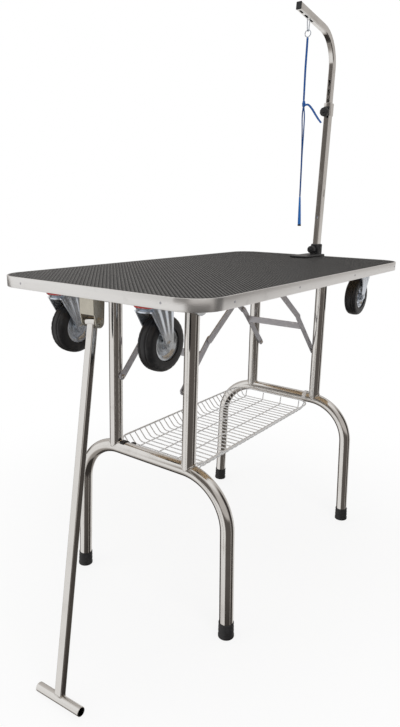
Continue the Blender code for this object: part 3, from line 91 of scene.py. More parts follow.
# %% Readings
class Reading:
    """One value over a surface. Operators between readings and numbers add Math nodes."""

    def __init__(self, finish, socket):
        self.finish = finish
        self.socket = socket

    def join(self, operation, left, right=0.0):
        return self.finish.node("ShaderNodeMath", {"operation": operation}, left, right)

    def __add__(self, other):
        return self.join("ADD", self, other)

    def __radd__(self, other):
        return self.join("ADD", other, self)

    def __sub__(self, other):
        return self.join("SUBTRACT", self, other)

    def __rsub__(self, other):
        return self.join("SUBTRACT", other, self)

    def __mul__(self, other):
        return self.join("MULTIPLY", self, other)

    def __rmul__(self, other):
        return self.join("MULTIPLY", other, self)

    def __truediv__(self, other):
        return self.join("DIVIDE", self, other)

    def __pow__(self, other):
        return self.join("POWER", self, other)

    def __abs__(self):
        return self.join("ABSOLUTE", self)

    def sine(self):
        return self.join("SINE", self)

    def above(self, low, high):
        """A smooth step: 0 below low, 1 over high."""
        return self.finish.node("ShaderNodeMapRange",
                                {"interpolation_type": "SMOOTHSTEP", "clamp": True},
                                self, low, high, 0.0, 1.0)


# %% [markdown]
# A Finish holds one material, and its method node() sets up any node in one line. Noise and
# colour mixes are needed by every finish, so they get short names of their own, and wear() feeds
# the shader. Only colour, roughness and the bump change over a surface; the rest is one number.

# %% Finishes
PLAIN = (1.0, 1.0, 1.0)


class Finish:
    """One node material, named for what it is on the table, or the nodes of the world."""

    def __init__(self, name, world=None):
        self.owner = world or bpy.data.materials.new(name)
        self.owner.use_nodes = True
        self.tree = self.owner.node_tree
        self.shader = self.tree.nodes.get("Principled BSDF")

    def node(self, kind, settings, *inputs, output=0, **named):
        """Add a node: its settings first, then its inputs in order or by name."""
        made = self.tree.nodes.new(kind)
        for key, value in settings.items():
            setattr(made, key, value)
        pairs = [(made.inputs[i], value) for i, value in enumerate(inputs) if value is not None]
        pairs += [(made.inputs[key.replace("_", " ")], value) for key, value in named.items()]
        for socket, value in pairs:
            self.feed(socket, value)
        return Reading(self, made.outputs[output])

    def feed(self, socket, value):
        """Link a reading to a socket, or set the socket's own number or colour."""
        if isinstance(value, Reading):
            self.tree.links.new(value.socket, socket)
        else:
            socket.default_value = value

    def place(self, stretch=PLAIN, turned=0.0):
        """Object coordinates, stretched, and turned about Z by an angle."""
        at = self.node("ShaderNodeTexCoord", {}, output="Object")
        return self.node("ShaderNodeMapping", {}, at, None, (0.0, 0.0, turned), stretch)

    def along(self, at):
        """The X, Y and Z readings of a vector."""
        split = self.tree.nodes.new("ShaderNodeSeparateXYZ")
        self.tree.links.new(at.socket, split.inputs[0])
        return [Reading(self, socket) for socket in split.outputs]

    def noise(self, scale, detail=3.0, rough=0.5, stretch=PLAIN):
        """Noise on object coordinates, drawn out where the surface has a grain."""
        return self.node("ShaderNodeTexNoise", {}, self.place(stretch), Scale=scale,
                         Detail=detail, Roughness=rough)

    def shade(self, share, first, second):
        """Mix two colours by a share."""
        mix = self.tree.nodes.new("ShaderNodeMix")
        mix.data_type = "RGBA"
        for key, value in (("Factor", share), ("A", first), ("B", second)):
            socket = [s for s in mix.inputs if s.name == key
                      and s.type == ("VALUE" if key == "Factor" else "RGBA")][0]
            if isinstance(value, tuple):
                value = (*value, 1.0)
            self.feed(socket, value)
        return Reading(self, [s for s in mix.outputs if s.type == "RGBA"][0])

    def wear(self, color, roughness, height=None, depth=0.001, **fixed):
        """Feed the shader: what varies goes through nodes, what is the same is set on it."""
        self.feed(self.shader.inputs["Base Color"], color)
        self.feed(self.shader.inputs["Roughness"], roughness)
        if height is not None:
            bump = self.node("ShaderNodeBump", {}, Strength=1.0, Distance=depth, Height=height)
            self.feed(self.shader.inputs["Normal"], bump)
        for key, value in fixed.items():
            self.shader.inputs[key.replace("_", " ")].default_value = value
        print("finish", self.owner.name)
        return self.owner


# %% [markdown]
# Polished stainless tube is nearly a mirror. What shows that it is drawn and polished steel is a
# faint streak along its length and a cloudy change of gloss where hands and cloths have been.
# The noise is stretched along Z, the way that the uprights and the arm run. An image could carry
# the same marks, but noise on object coordinates needs no file and has no seams.

# %% Stainless, trim, zinc and link steel
def polished_steel():
    """Mirror-like steel: streaked roughness, small cloudy smudges, a trace of waviness."""
    f = Finish("polished_stainless")
    streak = f.noise(1.0, 2.0, stretch=(260.0, 260.0, 5.0))
    cloud = f.noise(23.0, 4.0, 0.6).above(0.45, 0.8)
    tint = f.shade(cloud * 0.5, (0.76, 0.745, 0.72), (0.66, 0.64, 0.61))
    return f.wear(tint, 0.075 + streak * 0.09 + cloud * 0.14, streak * 0.6 + cloud * 0.2,
                  depth=0.00004, Metallic=1.0)


def brushed_trim():
    """Satin aluminium: fine lines that run round the edge, and dull marks from use."""
    f = Finish("brushed_edge_trim")
    lines = f.noise(1.0, 2.0, stretch=(3.0, 3.0, 1500.0))
    marks = f.noise(38.0, 5.0, 0.65).above(0.56, 0.75)
    tint = f.shade(lines * 0.6 + marks * 0.3, (0.84, 0.83, 0.815), (0.72, 0.715, 0.70))
    return f.wear(tint, 0.24 + lines * 0.12 + marks * 0.12, lines, depth=0.00005,
                  Metallic=0.9)


def zinc_plate(name, cool, tan, dull):
    """Zinc-plated pressed steel: cloudy bright and dull patches with a faint warm tint."""
    f = Finish(name)
    cloud = f.noise(55.0, 5.0, 0.6)
    warm = f.noise(14.0, 2.0).above(0.42, 0.7)
    tint = f.shade(warm * 0.6, cool, tan)
    return f.wear(f.shade(cloud * 0.5, tint, dull), 0.15 + cloud * 0.18, cloud,
                  depth=0.00012, Metallic=0.85)


def link_steel():
    """Plain grey flat bar: rolled lines, scuffs where the links rub."""
    f = Finish("grey_flat_bar")
    rolled = f.noise(1.0, 3.0, stretch=(14.0, 260.0, 14.0))
    scuff = f.noise(85.0, 4.0, 0.7).above(0.55, 0.72)
    tint = f.shade(scuff, (0.47, 0.465, 0.49), (0.62, 0.615, 0.63))
    return f.wear(tint, 0.36 + rolled * 0.2, rolled + scuff * 0.4, depth=0.0001,
                  Metallic=0.55)


STEEL = polished_steel()
TRIM = brushed_trim()
ZINC = zinc_plate("zinc_plated_steel", (0.80, 0.86, 0.94), (0.80, 0.80, 0.76),
                  (0.58, 0.63, 0.70))
TAN_ZINC = zinc_plate("tan_passivated_steel", (0.56, 0.53, 0.45), (0.50, 0.46, 0.36),
                      (0.36, 0.34, 0.29))
LINK = link_steel()

# %% [markdown]
# The mat is black rubber with low studs in rows at 45 degrees, 8 mm apart. The studs themselves
# are a piece of their own, made further down. This finish only has to agree with them, so it is
# the product of two waves along the turned axes: it lifts the surface a little more, paints the
# tops paler as a painted highlight and leaves the gaps between them near black as a painted shade.

# %% Mat, rubber and plastic
STUD_PITCH = 0.008


def stud_mat():
    """Rubber mat: height = step(|sin(u) * sin(v)|), with u and v along the diagonals."""
    f = Finish("studded_rubber_mat")
    wave = math.pi / STUD_PITCH
    u, v, _ = f.along(f.place((wave, wave, wave), math.pi / 4.0))
    stud = abs(u.sine() * v.sine()).above(0.20, 0.62)
    dust = f.noise(9.0, 5.0, 0.65)
    grain = f.noise(900.0, 2.0)
    # Painted highlight and shade: the stud tops are pale grey and the gaps between them near black.
    # Real dust adds to the pale.
    tint = f.shade(stud * (0.55 + dust * 0.5), (0.004, 0.004, 0.004), (0.165, 0.162, 0.157))
    return f.wear(tint, 0.52 - stud * 0.16 + dust * 0.10, stud * 0.3 + grain * 0.1,
                  depth=0.0004, Specular_IOR_Level=0.45)


def soft_black(name, base, rough, scale, depth, dusty=0.25):
    """Black rubber or plastic: fine grain, a little dust, gloss that changes with both."""
    f = Finish(name)
    grain = f.noise(scale, 3.0, 0.6)
    dust = f.noise(32.0, 5.0, 0.7).above(0.48, 0.8)
    pale = tuple(c + 0.07 for c in base)
    return f.wear(f.shade(dust * dusty, base, pale), rough + grain * 0.16 + dust * 0.1, grain,
                  depth=depth, Specular_IOR_Level=0.5)


MAT = stud_mat()
RUBBER = soft_black("black_foot_rubber", (0.014, 0.014, 0.015), 0.46, 420.0, 0.0002)
TYRE = soft_black("black_tyre_rubber", (0.010, 0.010, 0.011), 0.32, 300.0, 0.0002, 0.3)
PLASTIC = soft_black("black_moulded_plastic", (0.016, 0.016, 0.017), 0.34, 900.0, 0.00012, 0.15)

# %% [markdown]
# The basket's wire is coated white, the board is raw plywood below, and each caster has a red
# plastic ring. The lead is woven tape, whose ribs follow its own UV map, because object
# coordinates would run straight through its bends.

# %% Wire, board, ring and tape
def coated_wire():
    """White plastic-coated wire: smooth skin, grey dust in small clouds."""
    f = Finish("white_coated_wire")
    dust = f.noise(60.0, 4.0, 0.6).above(0.5, 0.8)
    skin = f.noise(700.0, 2.0)
    return f.wear(f.shade(dust * 0.5, (0.74, 0.745, 0.75), (0.58, 0.58, 0.575)),
                  0.22 + dust * 0.2, skin, depth=0.00006, Metallic=0.35)


def birch_board():
    """Plywood underside: long grain lines, darker late wood and small specks."""
    f = Finish("plywood_board")
    grain = f.noise(1.0, 6.0, 0.65, (5.0, 110.0, 110.0))
    wide = f.noise(1.0, 2.0, stretch=(1.2, 12.0, 12.0))
    tint = f.shade(grain.above(0.35, 0.7), (0.60, 0.44, 0.27), (0.42, 0.28, 0.15))
    return f.wear(f.shade(wide * 0.4, tint, (0.68, 0.52, 0.34)), 0.52 + grain * 0.25, grain,
                  depth=0.0003)


def red_ring():
    """Red plastic dust ring: slightly uneven gloss and dust."""
    f = Finish("red_dust_ring")
    dust = f.noise(120.0, 4.0, 0.6)
    return f.wear(f.shade(dust * 0.35, (0.62, 0.028, 0.022), (0.42, 0.05, 0.045)),
                  0.30 + dust * 0.2, dust, depth=0.0001)


def woven_tape(name, blue, dark):
    """Woven tape: crossing ribs sin(2 pi u + 9 v) * sin(2 pi u - 9 v) on the piece's own UV
    map, with u along the tape and v across it."""
    f = Finish(name)
    run, side, _ = f.along(f.node("ShaderNodeTexCoord", {}, output="UV"))
    turns, slant = run * (2.0 * math.pi), side * 9.0
    raised = ((turns + slant).sine() * (turns - slant).sine()).above(-0.6, 0.7)
    fuzz = f.noise(1300.0, 2.0)
    # Painted shade: where the ribs are low the tape takes the dark colour, and where they are raised
    # it takes the blue.
    return f.wear(f.shade(raised * 0.75 + fuzz * 0.25, dark, blue), 0.62 + fuzz * 0.25,
                  raised + fuzz * 0.3, depth=0.0005)


WIRE = coated_wire()
BOARD = birch_board()
RED = red_ring()
# The second colour of each tape is the painted shade between its ribs.
TAPE = woven_tape("blue_woven_tape", (0.022, 0.135, 0.43), (0.008, 0.045, 0.19))
TAPE_BAND = woven_tape("bright_tape_band", (0.035, 0.22, 0.62), (0.015, 0.10, 0.36))

# %% [markdown]
# Every solid takes the finish of its material slot, so nothing is left plain even where it is
# hidden behind another piece. A finish could be picked by hand for each solid, but the slot's
# name already says what the solid is made of.

# %% Finishes on the solids
SLOT_FINISH = {"plywood": BOARD, "satin_trim": TRIM, "black_mat": MAT, "stainless_tube": STEEL,
               "black_rubber": RUBBER, "zinc_steel": ZINC, "grey_link_steel": LINK,
               "black_plastic": PLASTIC, "white_wire": WIRE, "blue_tape": TAPE}
for node in nodes.values():
    for place in node.material_slots:
        word = place.material.name.split(".")[0] if place.material else "zinc_steel"
        place.material = SLOT_FINISH.get(word, ZINC)
print("slots dressed", len(SLOT_FINISH))

# %% [markdown]
# New pieces are surfaces worked out with numpy. A shape is a grid of points, its quads follow
# from the grid's size, and several shapes are gathered into one piece. Modifiers on simple
# meshes could make many of them, but a formula keeps every size in reach.

# %% Grids
def quads(rows, columns, round_rows=False, round_columns=False):
    """Corner (i, j) joins (i, j+1), (i+1, j+1) and (i+1, j), counted round where it closes."""
    i = np.arange(rows if round_rows else rows - 1)[:, None]
    j = np.arange(columns if round_columns else columns - 1)[None, :]
    i_next, j_next = (i + 1) % rows, (j + 1) % columns
    corners = (i * columns + j, i * columns + j_next, i_next * columns + j_next,
               i_next * columns + j)
    return np.stack(np.broadcast_arrays(*corners), -1).reshape(-1, 4)


def shape_of(grid, round_rows=False, round_columns=False, lids=False):
    """Points and faces of a grid; lids close its first and last rows."""
    rows, columns = grid.shape[:2]
    faces = quads(rows, columns, round_rows, round_columns).tolist()
    if lids:
        faces.append(list(range(columns)))
        faces.append(list(range((rows - 1) * columns, rows * columns)))
    return grid.reshape(-1, 3), faces


def gathered(*shapes):
    """Several shapes as one: each one's faces count on from the points before them."""
    starts = np.cumsum([0] + [len(points) for points, _ in shapes])
    faces = [[int(k + start) for k in face]
             for (_, found), start in zip(shapes, starts) for face in found]
    return np.concatenate([points for points, _ in shapes]), faces


def placed(shape, at=(0.0, 0.0, 0.0), about_x=0.0, about_y=0.0, about_z=0.0):
    """Turn a shape about X, then Y, then Z, and move it."""
    points, faces = shape
    turned = (Matrix.Rotation(about_z, 3, "Z") @ Matrix.Rotation(about_y, 3, "Y")
              @ Matrix.Rotation(about_x, 3, "X"))
    return points @ np.array(turned).T + np.array(at, float), faces


# %% [markdown]
# A piece is a mesh with its finish, smooth faces and sharp creases, told which solids it stands
# for and which body it rides on. Doubled points at a pole or seam are merged and the faces are
# turned outwards once, when the piece is made.

# %% Pieces
def cleaned(mesh, gap, then):
    """Merge points that lie closer than a gap, and let one more step work on the mesh."""
    work = bmesh.new()
    work.from_mesh(mesh)
    bmesh.ops.remove_doubles(work, verts=work.verts, dist=gap)
    then(work)
    work.to_mesh(mesh)
    work.free()


def turned_outwards(work):
    bmesh.ops.recalc_face_normals(work, faces=work.faces)


def dressed(name, mesh, finish, body, stands_for=(), soft=0.0, crease=32.0):
    """Give a mesh its finish, its creases, round edges where they are asked for, and its body."""
    mesh.materials.clear()
    mesh.materials.append(finish)
    mesh.shade_smooth()
    mesh.set_sharp_from_angle(angle=math.radians(crease))
    item = into_scene(name, mesh)
    if soft:
        edge = item.modifiers.new("round_edges", "BEVEL")
        edge.width = soft
        edge.segments = 2
        edge.limit_method = "ANGLE"
        edge.angle_limit = math.radians(crease)
        edge.harden_normals = True
    if stands_for:
        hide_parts(*stands_for)
    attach(item, body)
    print(name, "on", body, "with", len(mesh.polygons), "faces")
    return item


def make_piece(name, shape, finish, body, stands_for=(), soft=0.0, crease=32.0, merge=2e-6):
    """Put a shape of the table's frame into the scene as a piece that rides on a body."""
    points, faces = shape
    mesh = bpy.data.meshes.new(name)
    shifted = points + np.array([TABLE_X, 0.0, 0.0])
    mesh.from_pydata(shifted.tolist(), [], faces)
    cleaned(mesh, merge, turned_outwards)
    return dressed(name, mesh, finish, body, stands_for, soft, crease)


# %% [markdown]
# Three outlines are enough for all tubes, wires and tapes: a circle, an oval with full sides, and
# a rectangle with round corners. Each is an array of points, once round.

# %% Outlines
def full_turn(steps):
    """Even angles once round a circle, up to the step before the first one comes again."""
    return np.linspace(0.0, 2.0 * np.pi, steps, endpoint=False)


def round_points(radius, t, height):
    """Points (r cos t, r sin t, height), spread over one grid."""
    return np.stack(np.broadcast_arrays(radius * np.cos(t), radius * np.sin(t), height), -1)


def ring_outline(radius, steps=40):
    """A circle: (radius cos t, radius sin t)."""
    return round_points(radius, full_turn(steps), 0.0)[:, :2]


def oval_outline(width, depth, power, steps):
    """An oval: half the width times |cos t|^power and half the depth times |sin t|^power, each
    with its own sign. A power under 1 makes the sides fuller."""
    unit = ring_outline(1.0, steps)
    return np.sign(unit) * np.abs(unit) ** power * [width / 2.0, depth / 2.0]


def soft_box_outline(width, depth, corner, steps=5):
    """A rectangle with round corners: each corner is a quarter circle about its own middle."""
    quarter = np.repeat(np.arange(4), steps + 1)
    share = np.tile(np.arange(steps + 1) / steps, 4)
    t = np.pi / 2.0 * (quarter + share)
    side_x = np.where((quarter == 0) | (quarter == 3), 1.0, -1.0)
    side_y = np.where(quarter < 2, 1.0, -1.0)
    return np.stack([side_x * (width / 2.0 - corner) + corner * np.cos(t),
                     side_y * (depth / 2.0 - corner) + corner * np.sin(t)], 1)


def level_ring(outline, height):
    """An outline laid level at a height."""
    return np.column_stack([outline, np.full(len(outline), height)])


# %% [markdown]
# Tubes, wires and turned parts cover most of the table. A tube is an outline carried along a
# line of stations. A turned part is a profile of radius and height spun round its axis. Blender's
# curves with a bevel could draw the tubes too, but here their ends and sizes stay exact.

# %% Carried and spun shapes
UPWARD = (0.0, 0.0, 1.0)


def sides_along(line, up=(1.0, 0.0, 0.0), closed=False):
    """Two unit vectors at each station of a line: side is across the heading and the given up,
    and lift is square to both side and heading."""
    if closed:
        heading = np.roll(line, -1, 0) - np.roll(line, 1, 0)
    else:
        heading = np.gradient(line, axis=0)
    heading /= np.linalg.norm(heading, axis=1, keepdims=True)
    side = np.cross(heading, up)
    side /= np.linalg.norm(side, axis=1, keepdims=True)
    return side, np.cross(side, heading)


def carried(outline, route, up=(1.0, 0.0, 0.0), closed=False, sizes=1.0):
    """Carry an outline along a route: point = station + a * side + b * lift. Sizes scale the
    outline at each station, with one column for both ways or one for each. An open route gets
    lids."""
    route = np.asarray(route, float)
    side, lift = sides_along(route, up, closed)
    size = np.ones((len(route), 2)) * sizes
    a = (size[:, :1] * outline[:, 0])[..., None]
    b = (size[:, 1:] * outline[:, 1])[..., None]
    return shape_of(route[:, None] + a * side[:, None] + b * lift[:, None], closed, True,
                    not closed)


def spun(profile, steps=48, closed=False):
    """Spin (radius, height) about Z: x = r cos t, y = r sin t, z = height."""
    profile = np.asarray(profile, float)
    return shape_of(round_points(profile[:, :1], full_turn(steps), profile[:, 1:]), closed, True)


def pipe(outer, inner, low, high, steps=40, soft=0.0004):
    """A tube with a wall, from low to high on Z, its rims slightly rounded."""
    profile = [(outer, low + soft), (outer, high - soft), (outer - soft, high),
               (inner, high), (inner, low), (outer - soft, low)]
    return spun(profile, steps, closed=True)


def between(start, end, outline, up=(1.0, 0.0, 0.0)):
    """An outline carried straight from one point to another, with lids."""
    return carried(outline, [start, end], up)


def softened(points, radius, steps=6):
    """Round a broken line: each inner corner becomes a quadratic curve between the points that
    lie radius before and after it."""
    points = np.asarray(points, float)
    before = points[:-2] - points[1:-1]
    after = points[2:] - points[1:-1]
    before *= radius / np.linalg.norm(before, axis=1, keepdims=True)
    after *= radius / np.linalg.norm(after, axis=1, keepdims=True)
    t = np.linspace(0.0, 1.0, steps)[None, :, None]
    curve = points[1:-1, None] + before[:, None] * (1.0 - t) ** 2 + after[:, None] * t ** 2
    return np.concatenate([points[:1], curve.reshape(-1, 3), points[-1:]])


# %% [markdown]
# Pressed brackets, links and moulded clamp parts have holes and odd outlines that the solids
# already hold. A copy of such a solid is merged, its flat triangles are joined, and its edges
# are rounded a little, so that they catch light as folded steel or moulded plastic does.

# %% Rounded copies of the solids
FLAT = math.radians(1.0)


def flat_faces_joined(work):
    bmesh.ops.dissolve_limit(work, angle_limit=FLAT, verts=work.verts, edges=work.edges)


def rounded_copy(node, finish, body, soft=0.0006):
    """Merge a copy of a solid's loose triangles, join its flat faces and round its edges."""
    mesh = nodes[node].data.copy()
    cleaned(mesh, 1e-5, flat_faces_joined)
    dressed(node + "_skin", mesh, finish, body, (node,), soft)


# %% [markdown]
# The tabletop is a plywood board under a rubber mat, held in a channel of satin aluminium that
# is bent round the corners. The channel's section is carried round the board's outline as rows
# of insets and heights, with more steps in the round corners than the solid has. A beveled box
# would look alike from above, but it has no lip under the board.

# %% Tabletop
TOP_LENGTH, TOP_WIDTH, TOP_HEIGHT = 1.100, 0.610, 0.863
CORNER = 0.070
TRIM_HEIGHT, TRIM_WALL, TRIM_LIP = 0.026, 0.0015, 0.0012
TRIM_ROUND, TRIM_CUT = 0.0012, 0.0004
TOP_LAP, BOTTOM_LAP = 0.003, 0.006
MAT_THICKNESS, MAT_ROUND, STUD_RISE = 0.003, (0.0006, 0.0003), 0.0009
SLIT = 0.0003


def rounded_slab(section, closed):
    """Rows of the tabletop's outline: each (inset, height) of a section gives one row."""
    rows = [level_ring(soft_box_outline(TOP_LENGTH - 2.0 * inset, TOP_WIDTH - 2.0 * inset,
                                        CORNER - inset, 20), height)
            for inset, height in section]
    return shape_of(np.stack(rows), closed, True, not closed)


high = TOP_HEIGHT
low = TOP_HEIGHT - TRIM_HEIGHT
channel = [(0.0, low + TRIM_ROUND), (0.0, high - TRIM_ROUND), (TRIM_CUT, high - TRIM_CUT),
           (TRIM_ROUND, high), (TOP_LAP, high), (TOP_LAP, high - TRIM_LIP),
           (TRIM_WALL, high - TRIM_LIP), (TRIM_WALL, low + TRIM_LIP),
           (BOTTOM_LAP, low + TRIM_LIP), (BOTTOM_LAP, low), (TRIM_ROUND, low),
           (TRIM_CUT, low + TRIM_CUT)]
make_piece("edge_channel", rounded_slab(channel, True), TRIM, "table", ("edge_trim",))
mat_edge = TOP_LAP + SLIT
ground = high - STUD_RISE
mat_rows = [(mat_edge, high - MAT_THICKNESS), (mat_edge, ground - MAT_ROUND[1]),
            (mat_edge + MAT_ROUND[0], ground)]
make_piece("studded_mat", rounded_slab(mat_rows, False), MAT, "table", ("rubber_mat",),
           crease=60.0)

# %% [markdown]
# The mat's studs are low square blocks with sloped sides, in rows at 45 degrees to the edge. There
# are about ten thousand, so all their points are worked out at once and each has only six faces.
# A bump alone would pale them, but it couldn't give the mat its rough edge against the light.

# %% Studs
STUD_FOOT, STUD_TOP, STUD_MARGIN = 0.0030, 0.0020, 0.0085
STUD_ROOT, STUD_BELOW = 0.0002, 0.0001


def stud_field():
    """Centres ((i + 1/2) p, (j + 1/2) p) turned by 45 degrees, kept where the distance past the
    corner's middle, |max(|x| - a, 0), max(|y| - b, 0)|, is less than the corner less a margin."""
    reach = int(TOP_LENGTH / STUD_PITCH)
    steps = (np.arange(-reach, reach) + 0.5) * STUD_PITCH
    along, across = np.meshgrid(steps, steps)
    x, y = (along + across).ravel() * math.sqrt(0.5), (across - along).ravel() * math.sqrt(0.5)
    past = np.stack([np.abs(x) - (TOP_LENGTH / 2.0 - CORNER),
                     np.abs(y) - (TOP_WIDTH / 2.0 - CORNER)])
    inside = np.hypot(*np.maximum(past, 0.0)) < CORNER - STUD_MARGIN
    middle = np.column_stack([x, y, np.zeros(len(x))])[inside]
    way = np.array([[1, 0, 0], [0, 1, 0], [-1, 0, 0], [0, -1, 0]], float) * math.sqrt(2.0)
    block = np.concatenate([way * STUD_FOOT + [0.0, 0.0, ground - STUD_ROOT],
                            way * STUD_TOP + [0.0, 0.0, high - STUD_BELOW]])
    points = (middle[:, None] + block).reshape(-1, 3)
    one = np.array([[0, 1, 5, 4], [1, 2, 6, 5], [2, 3, 7, 6], [3, 0, 4, 7], [4, 5, 6, 7],
                    [3, 2, 1, 0]])
    faces = (np.arange(len(middle))[:, None, None] * len(block) + one).reshape(-1, 4)
    return points, faces.tolist()


make_piece("mat_studs", stud_field(), MAT, "table", crease=20.0)

# %% [markdown]
# Small domed rivets hold the channel on the board: two on each end, four on each long side. A
# rivet could be half a sphere, but a low spun dome is truer to a pressed head. The domes are
# clipped a little below their full rise, so that the table hardly gets wider.

# %% Rivets of the trim
RIVET_HEIGHT, RIVET_RADIUS, RIVET_RISE, RIVET_PROUD = 0.8497, 0.0027, 0.0009, 0.0008
END_RIVETS = (-0.208, 0.208)
SIDE_RIVETS = (-0.444, -0.172, 0.156, 0.481)
FAR_OFF = 9.0


def rivet_dome():
    """A low dome: radius * cos t outwards and rise * sin t up, with a short rim below."""
    t = np.linspace(0.0, np.pi / 2.0, 6)
    profile = np.stack([RIVET_RADIUS * np.cos(t), RIVET_RISE * np.sin(t)], 1)
    return spun(np.concatenate([[(0.0, -RIVET_PROUD), (RIVET_RADIUS, -RIVET_PROUD)], profile]),
                20)


quarter = math.pi / 2.0
rivets = [placed(rivet_dome(), (side * TOP_LENGTH / 2.0, y, RIVET_HEIGHT), 0.0, side * quarter)
          for side in (-1, 1) for y in END_RIVETS]
rivets += [placed(rivet_dome(), (x, side * TOP_WIDTH / 2.0, RIVET_HEIGHT), -side * quarter)
           for side in (-1, 1) for x in SIDE_RIVETS]
rivet_points, rivet_faces = gathered(*rivets)
limit = np.array([TOP_LENGTH / 2.0, TOP_WIDTH / 2.0, FAR_OFF]) + RIVET_PROUD
make_piece("trim_rivets", (np.clip(rivet_points, -limit, limit), rivet_faces), LINK, "table")

# %% [markdown]
# Each leg frame stands on an arch with a little splay in its legs. The near frame leans, the far
# one faces the other way. Both are made in a place of their own, with the fold's pivot at the
# origin, and then leaned and moved, so that one set of sizes serves both.

# %% Places of the leg frames
PIVOT_HEIGHT = 0.816
LEAN = math.radians(1.48)
ENDS = {"near": (-0.3337, LEAN, 0.0), "far": (0.3514, 0.0, math.pi)}
TUBE, TUBE_WALL = 0.0174, 0.0015
UPRIGHT_Y = 0.1211
ARCH_DROP = PIVOT_HEIGHT - 0.4058
ARCH_BEND = 0.130
FOOT_Y = 0.2507
SPLAY = math.radians(2.0)
FOOT_HEIGHT, FOOT_FLOOR, FOOT_SOFT = 0.040, 0.006, 0.001
FOOT_TOP, FOOT_BOTTOM = 0.0190, 0.0200


def on_pivot(shape, end):
    """Lean and face a shape of a frame's own place, and hang it on the pivot of its end."""
    pivot_x, lean, facing = ENDS[end]
    return placed(shape, (pivot_x, 0.0, PIVOT_HEIGHT), 0.0, lean, facing)


def leg_drop(lean):
    """Distance from the pivot to the floor along the frame, so that a foot's edge touches it."""
    tilt = math.acos(math.cos(lean) * math.cos(SPLAY))
    return (PIVOT_HEIGHT - (FOOT_BOTTOM - FOOT_SOFT) * math.sin(tilt)) / math.cos(lean)


DROPS = {end: leg_drop(lean) for end, (_, lean, _) in ENDS.items()}
print("pivot to floor", {end: round(drop, 4) for end, drop in DROPS.items()})

# %% [markdown]
# The arch is one bent tube, and two uprights are welded on its bar. A weld bead follows the
# saddle line where an upright meets it. A real joint of tubes could be cut with a Boolean, but
# the bead hides that line, so the tubes may simply run into each other.

# %% Arches and weld beads
BEAD, BEAD_RIPPLES, BEAD_LEAST = 0.0019, 32.0, 0.15


def arch_line(drop, steps=22):
    """Half of the arch is a straight leg and a circular bend; the other half mirrors it."""
    corner_y = FOOT_Y - math.tan(SPLAY) * (drop - ARCH_DROP)
    swing = math.pi / 2.0 - SPLAY
    bend_y = corner_y - ARCH_BEND * math.tan(swing / 2.0)
    t = SPLAY + swing * np.linspace(0.0, 1.0, steps)
    bend = np.stack([bend_y + ARCH_BEND * np.cos(t),
                     -ARCH_DROP - ARCH_BEND + ARCH_BEND * np.sin(t)], 1)
    start = [FOOT_Y - math.sin(SPLAY) * (FOOT_FLOOR + SLIT),
             -drop + math.cos(SPLAY) * (FOOT_FLOOR + SLIT)]
    half = np.concatenate([[start], bend])
    whole = np.concatenate([half, half[::-1] * [-1.0, 1.0]])
    return np.column_stack([np.zeros(len(whole)), whole])


def weld_bead(y):
    """A ripple bead on the saddle: (R cos t, y + R sin t, R |sin t| above the bar's middle), kept
    smooth by a small share under the root, and thin where it passes the sides of the bar."""
    t = full_turn(96)
    line = np.stack([TUBE * np.cos(t), y + TUBE * np.sin(t),
                     -ARCH_DROP + TUBE * np.sqrt(np.sin(t) ** 2 + 0.004)], 1)
    swell = BEAD_LEAST + (1.0 - BEAD_LEAST) * np.abs(np.sin(t))
    swell *= 1.0 + 0.13 * np.sin(t * BEAD_RIPPLES)
    return carried(ring_outline(BEAD, 8), line, UPWARD, closed=True, sizes=swell[:, None])


for end, drop in DROPS.items():
    arch = carried(ring_outline(TUBE), arch_line(drop))
    beads = [weld_bead(side * UPRIGHT_Y) for side in (-1, 1)]
    make_piece(end + "_arch_tube", on_pivot(gathered(arch, *beads), end), STEEL,
               end + "_leg_frame", (end + "_leg_arch",))

# %% [markdown]
# The uprights carry a cross tube that turns in the bracket under the board, and a stub bolt with
# a washer for each lower link. The far frame's bolts sit a little outside the uprights' middle.
# The tubes are pipes with a wall, as drawn steel tube is, and simply run through each other.

# %% Uprights
BOLT = {"near": (0.0, 0.215), "far": (0.010, 0.249)}
LINK_FACE, LINK_THICK, LINK_PIN = 0.0970, 0.003, 0.003
HEAD, DOME = 0.0055, 0.0025
PIVOT_TUBE = (0.0125, 0.0110, -0.160, 0.160)
UPRIGHT_FOOT, UPRIGHT_TOP = 0.001 - ARCH_DROP, 0.008


def stub_bolt(side, out, low):
    """Washer, shank and domed nut from the upright's wall to the inside of the link."""
    wall = UPRIGHT_Y - math.sqrt(TUBE ** 2 - out ** 2) + TUBE_WALL
    outer = LINK_FACE + LINK_THICK + SLIT
    inner = LINK_FACE - SLIT
    start = (-out, side * wall, -low)
    washer = between(start, (-out, side * outer, -low), ring_outline(HEAD, 24), UPWARD)
    shank = between(start, (-out, side * (inner - DOME), -low), ring_outline(LINK_PIN, 20),
                    UPWARD)
    t = np.linspace(0.0, np.pi / 2.0, 7)
    line = [(-out, side * y, -low) for y in inner - 2.0 * DOME * np.sin(t)]
    swell = HEAD * np.maximum(np.cos(t), 0.05) ** 0.5
    nut = carried(ring_outline(1.0, 24), line, UPWARD, sizes=swell[:, None])
    return gathered(washer, shank, nut)


for end in ENDS:
    tube = pipe(TUBE, TUBE - TUBE_WALL, UPRIGHT_FOOT, UPRIGHT_TOP)
    tubes = [placed(tube, (0.0, side * UPRIGHT_Y, 0.0)) for side in (-1, 1)]
    axle = placed(pipe(*PIVOT_TUBE, 32), about_x=quarter)
    bolts = [stub_bolt(side, *BOLT[end]) for side in (-1, 1)]
    make_piece(end + "_upright_tubes", on_pivot(gathered(axle, *tubes, *bolts), end), STEEL,
               end + "_leg_frame", (end + "_uprights",))

# %% [markdown]
# The feet are ribbed rubber caps. Their profile steps in below each rib and ends in a rounded
# sole, and each cap follows the leg's splay. Grooves could be cut into a plain cap, but one
# spun profile gives cap, ribs, sole and bore at once.

# %% Feet
RIBS, RIB_DEPTH, CAP_ROUND, CAP_CUT, SOLE_CUT = 3, 0.0010, 0.0012, 0.0004, 0.0003


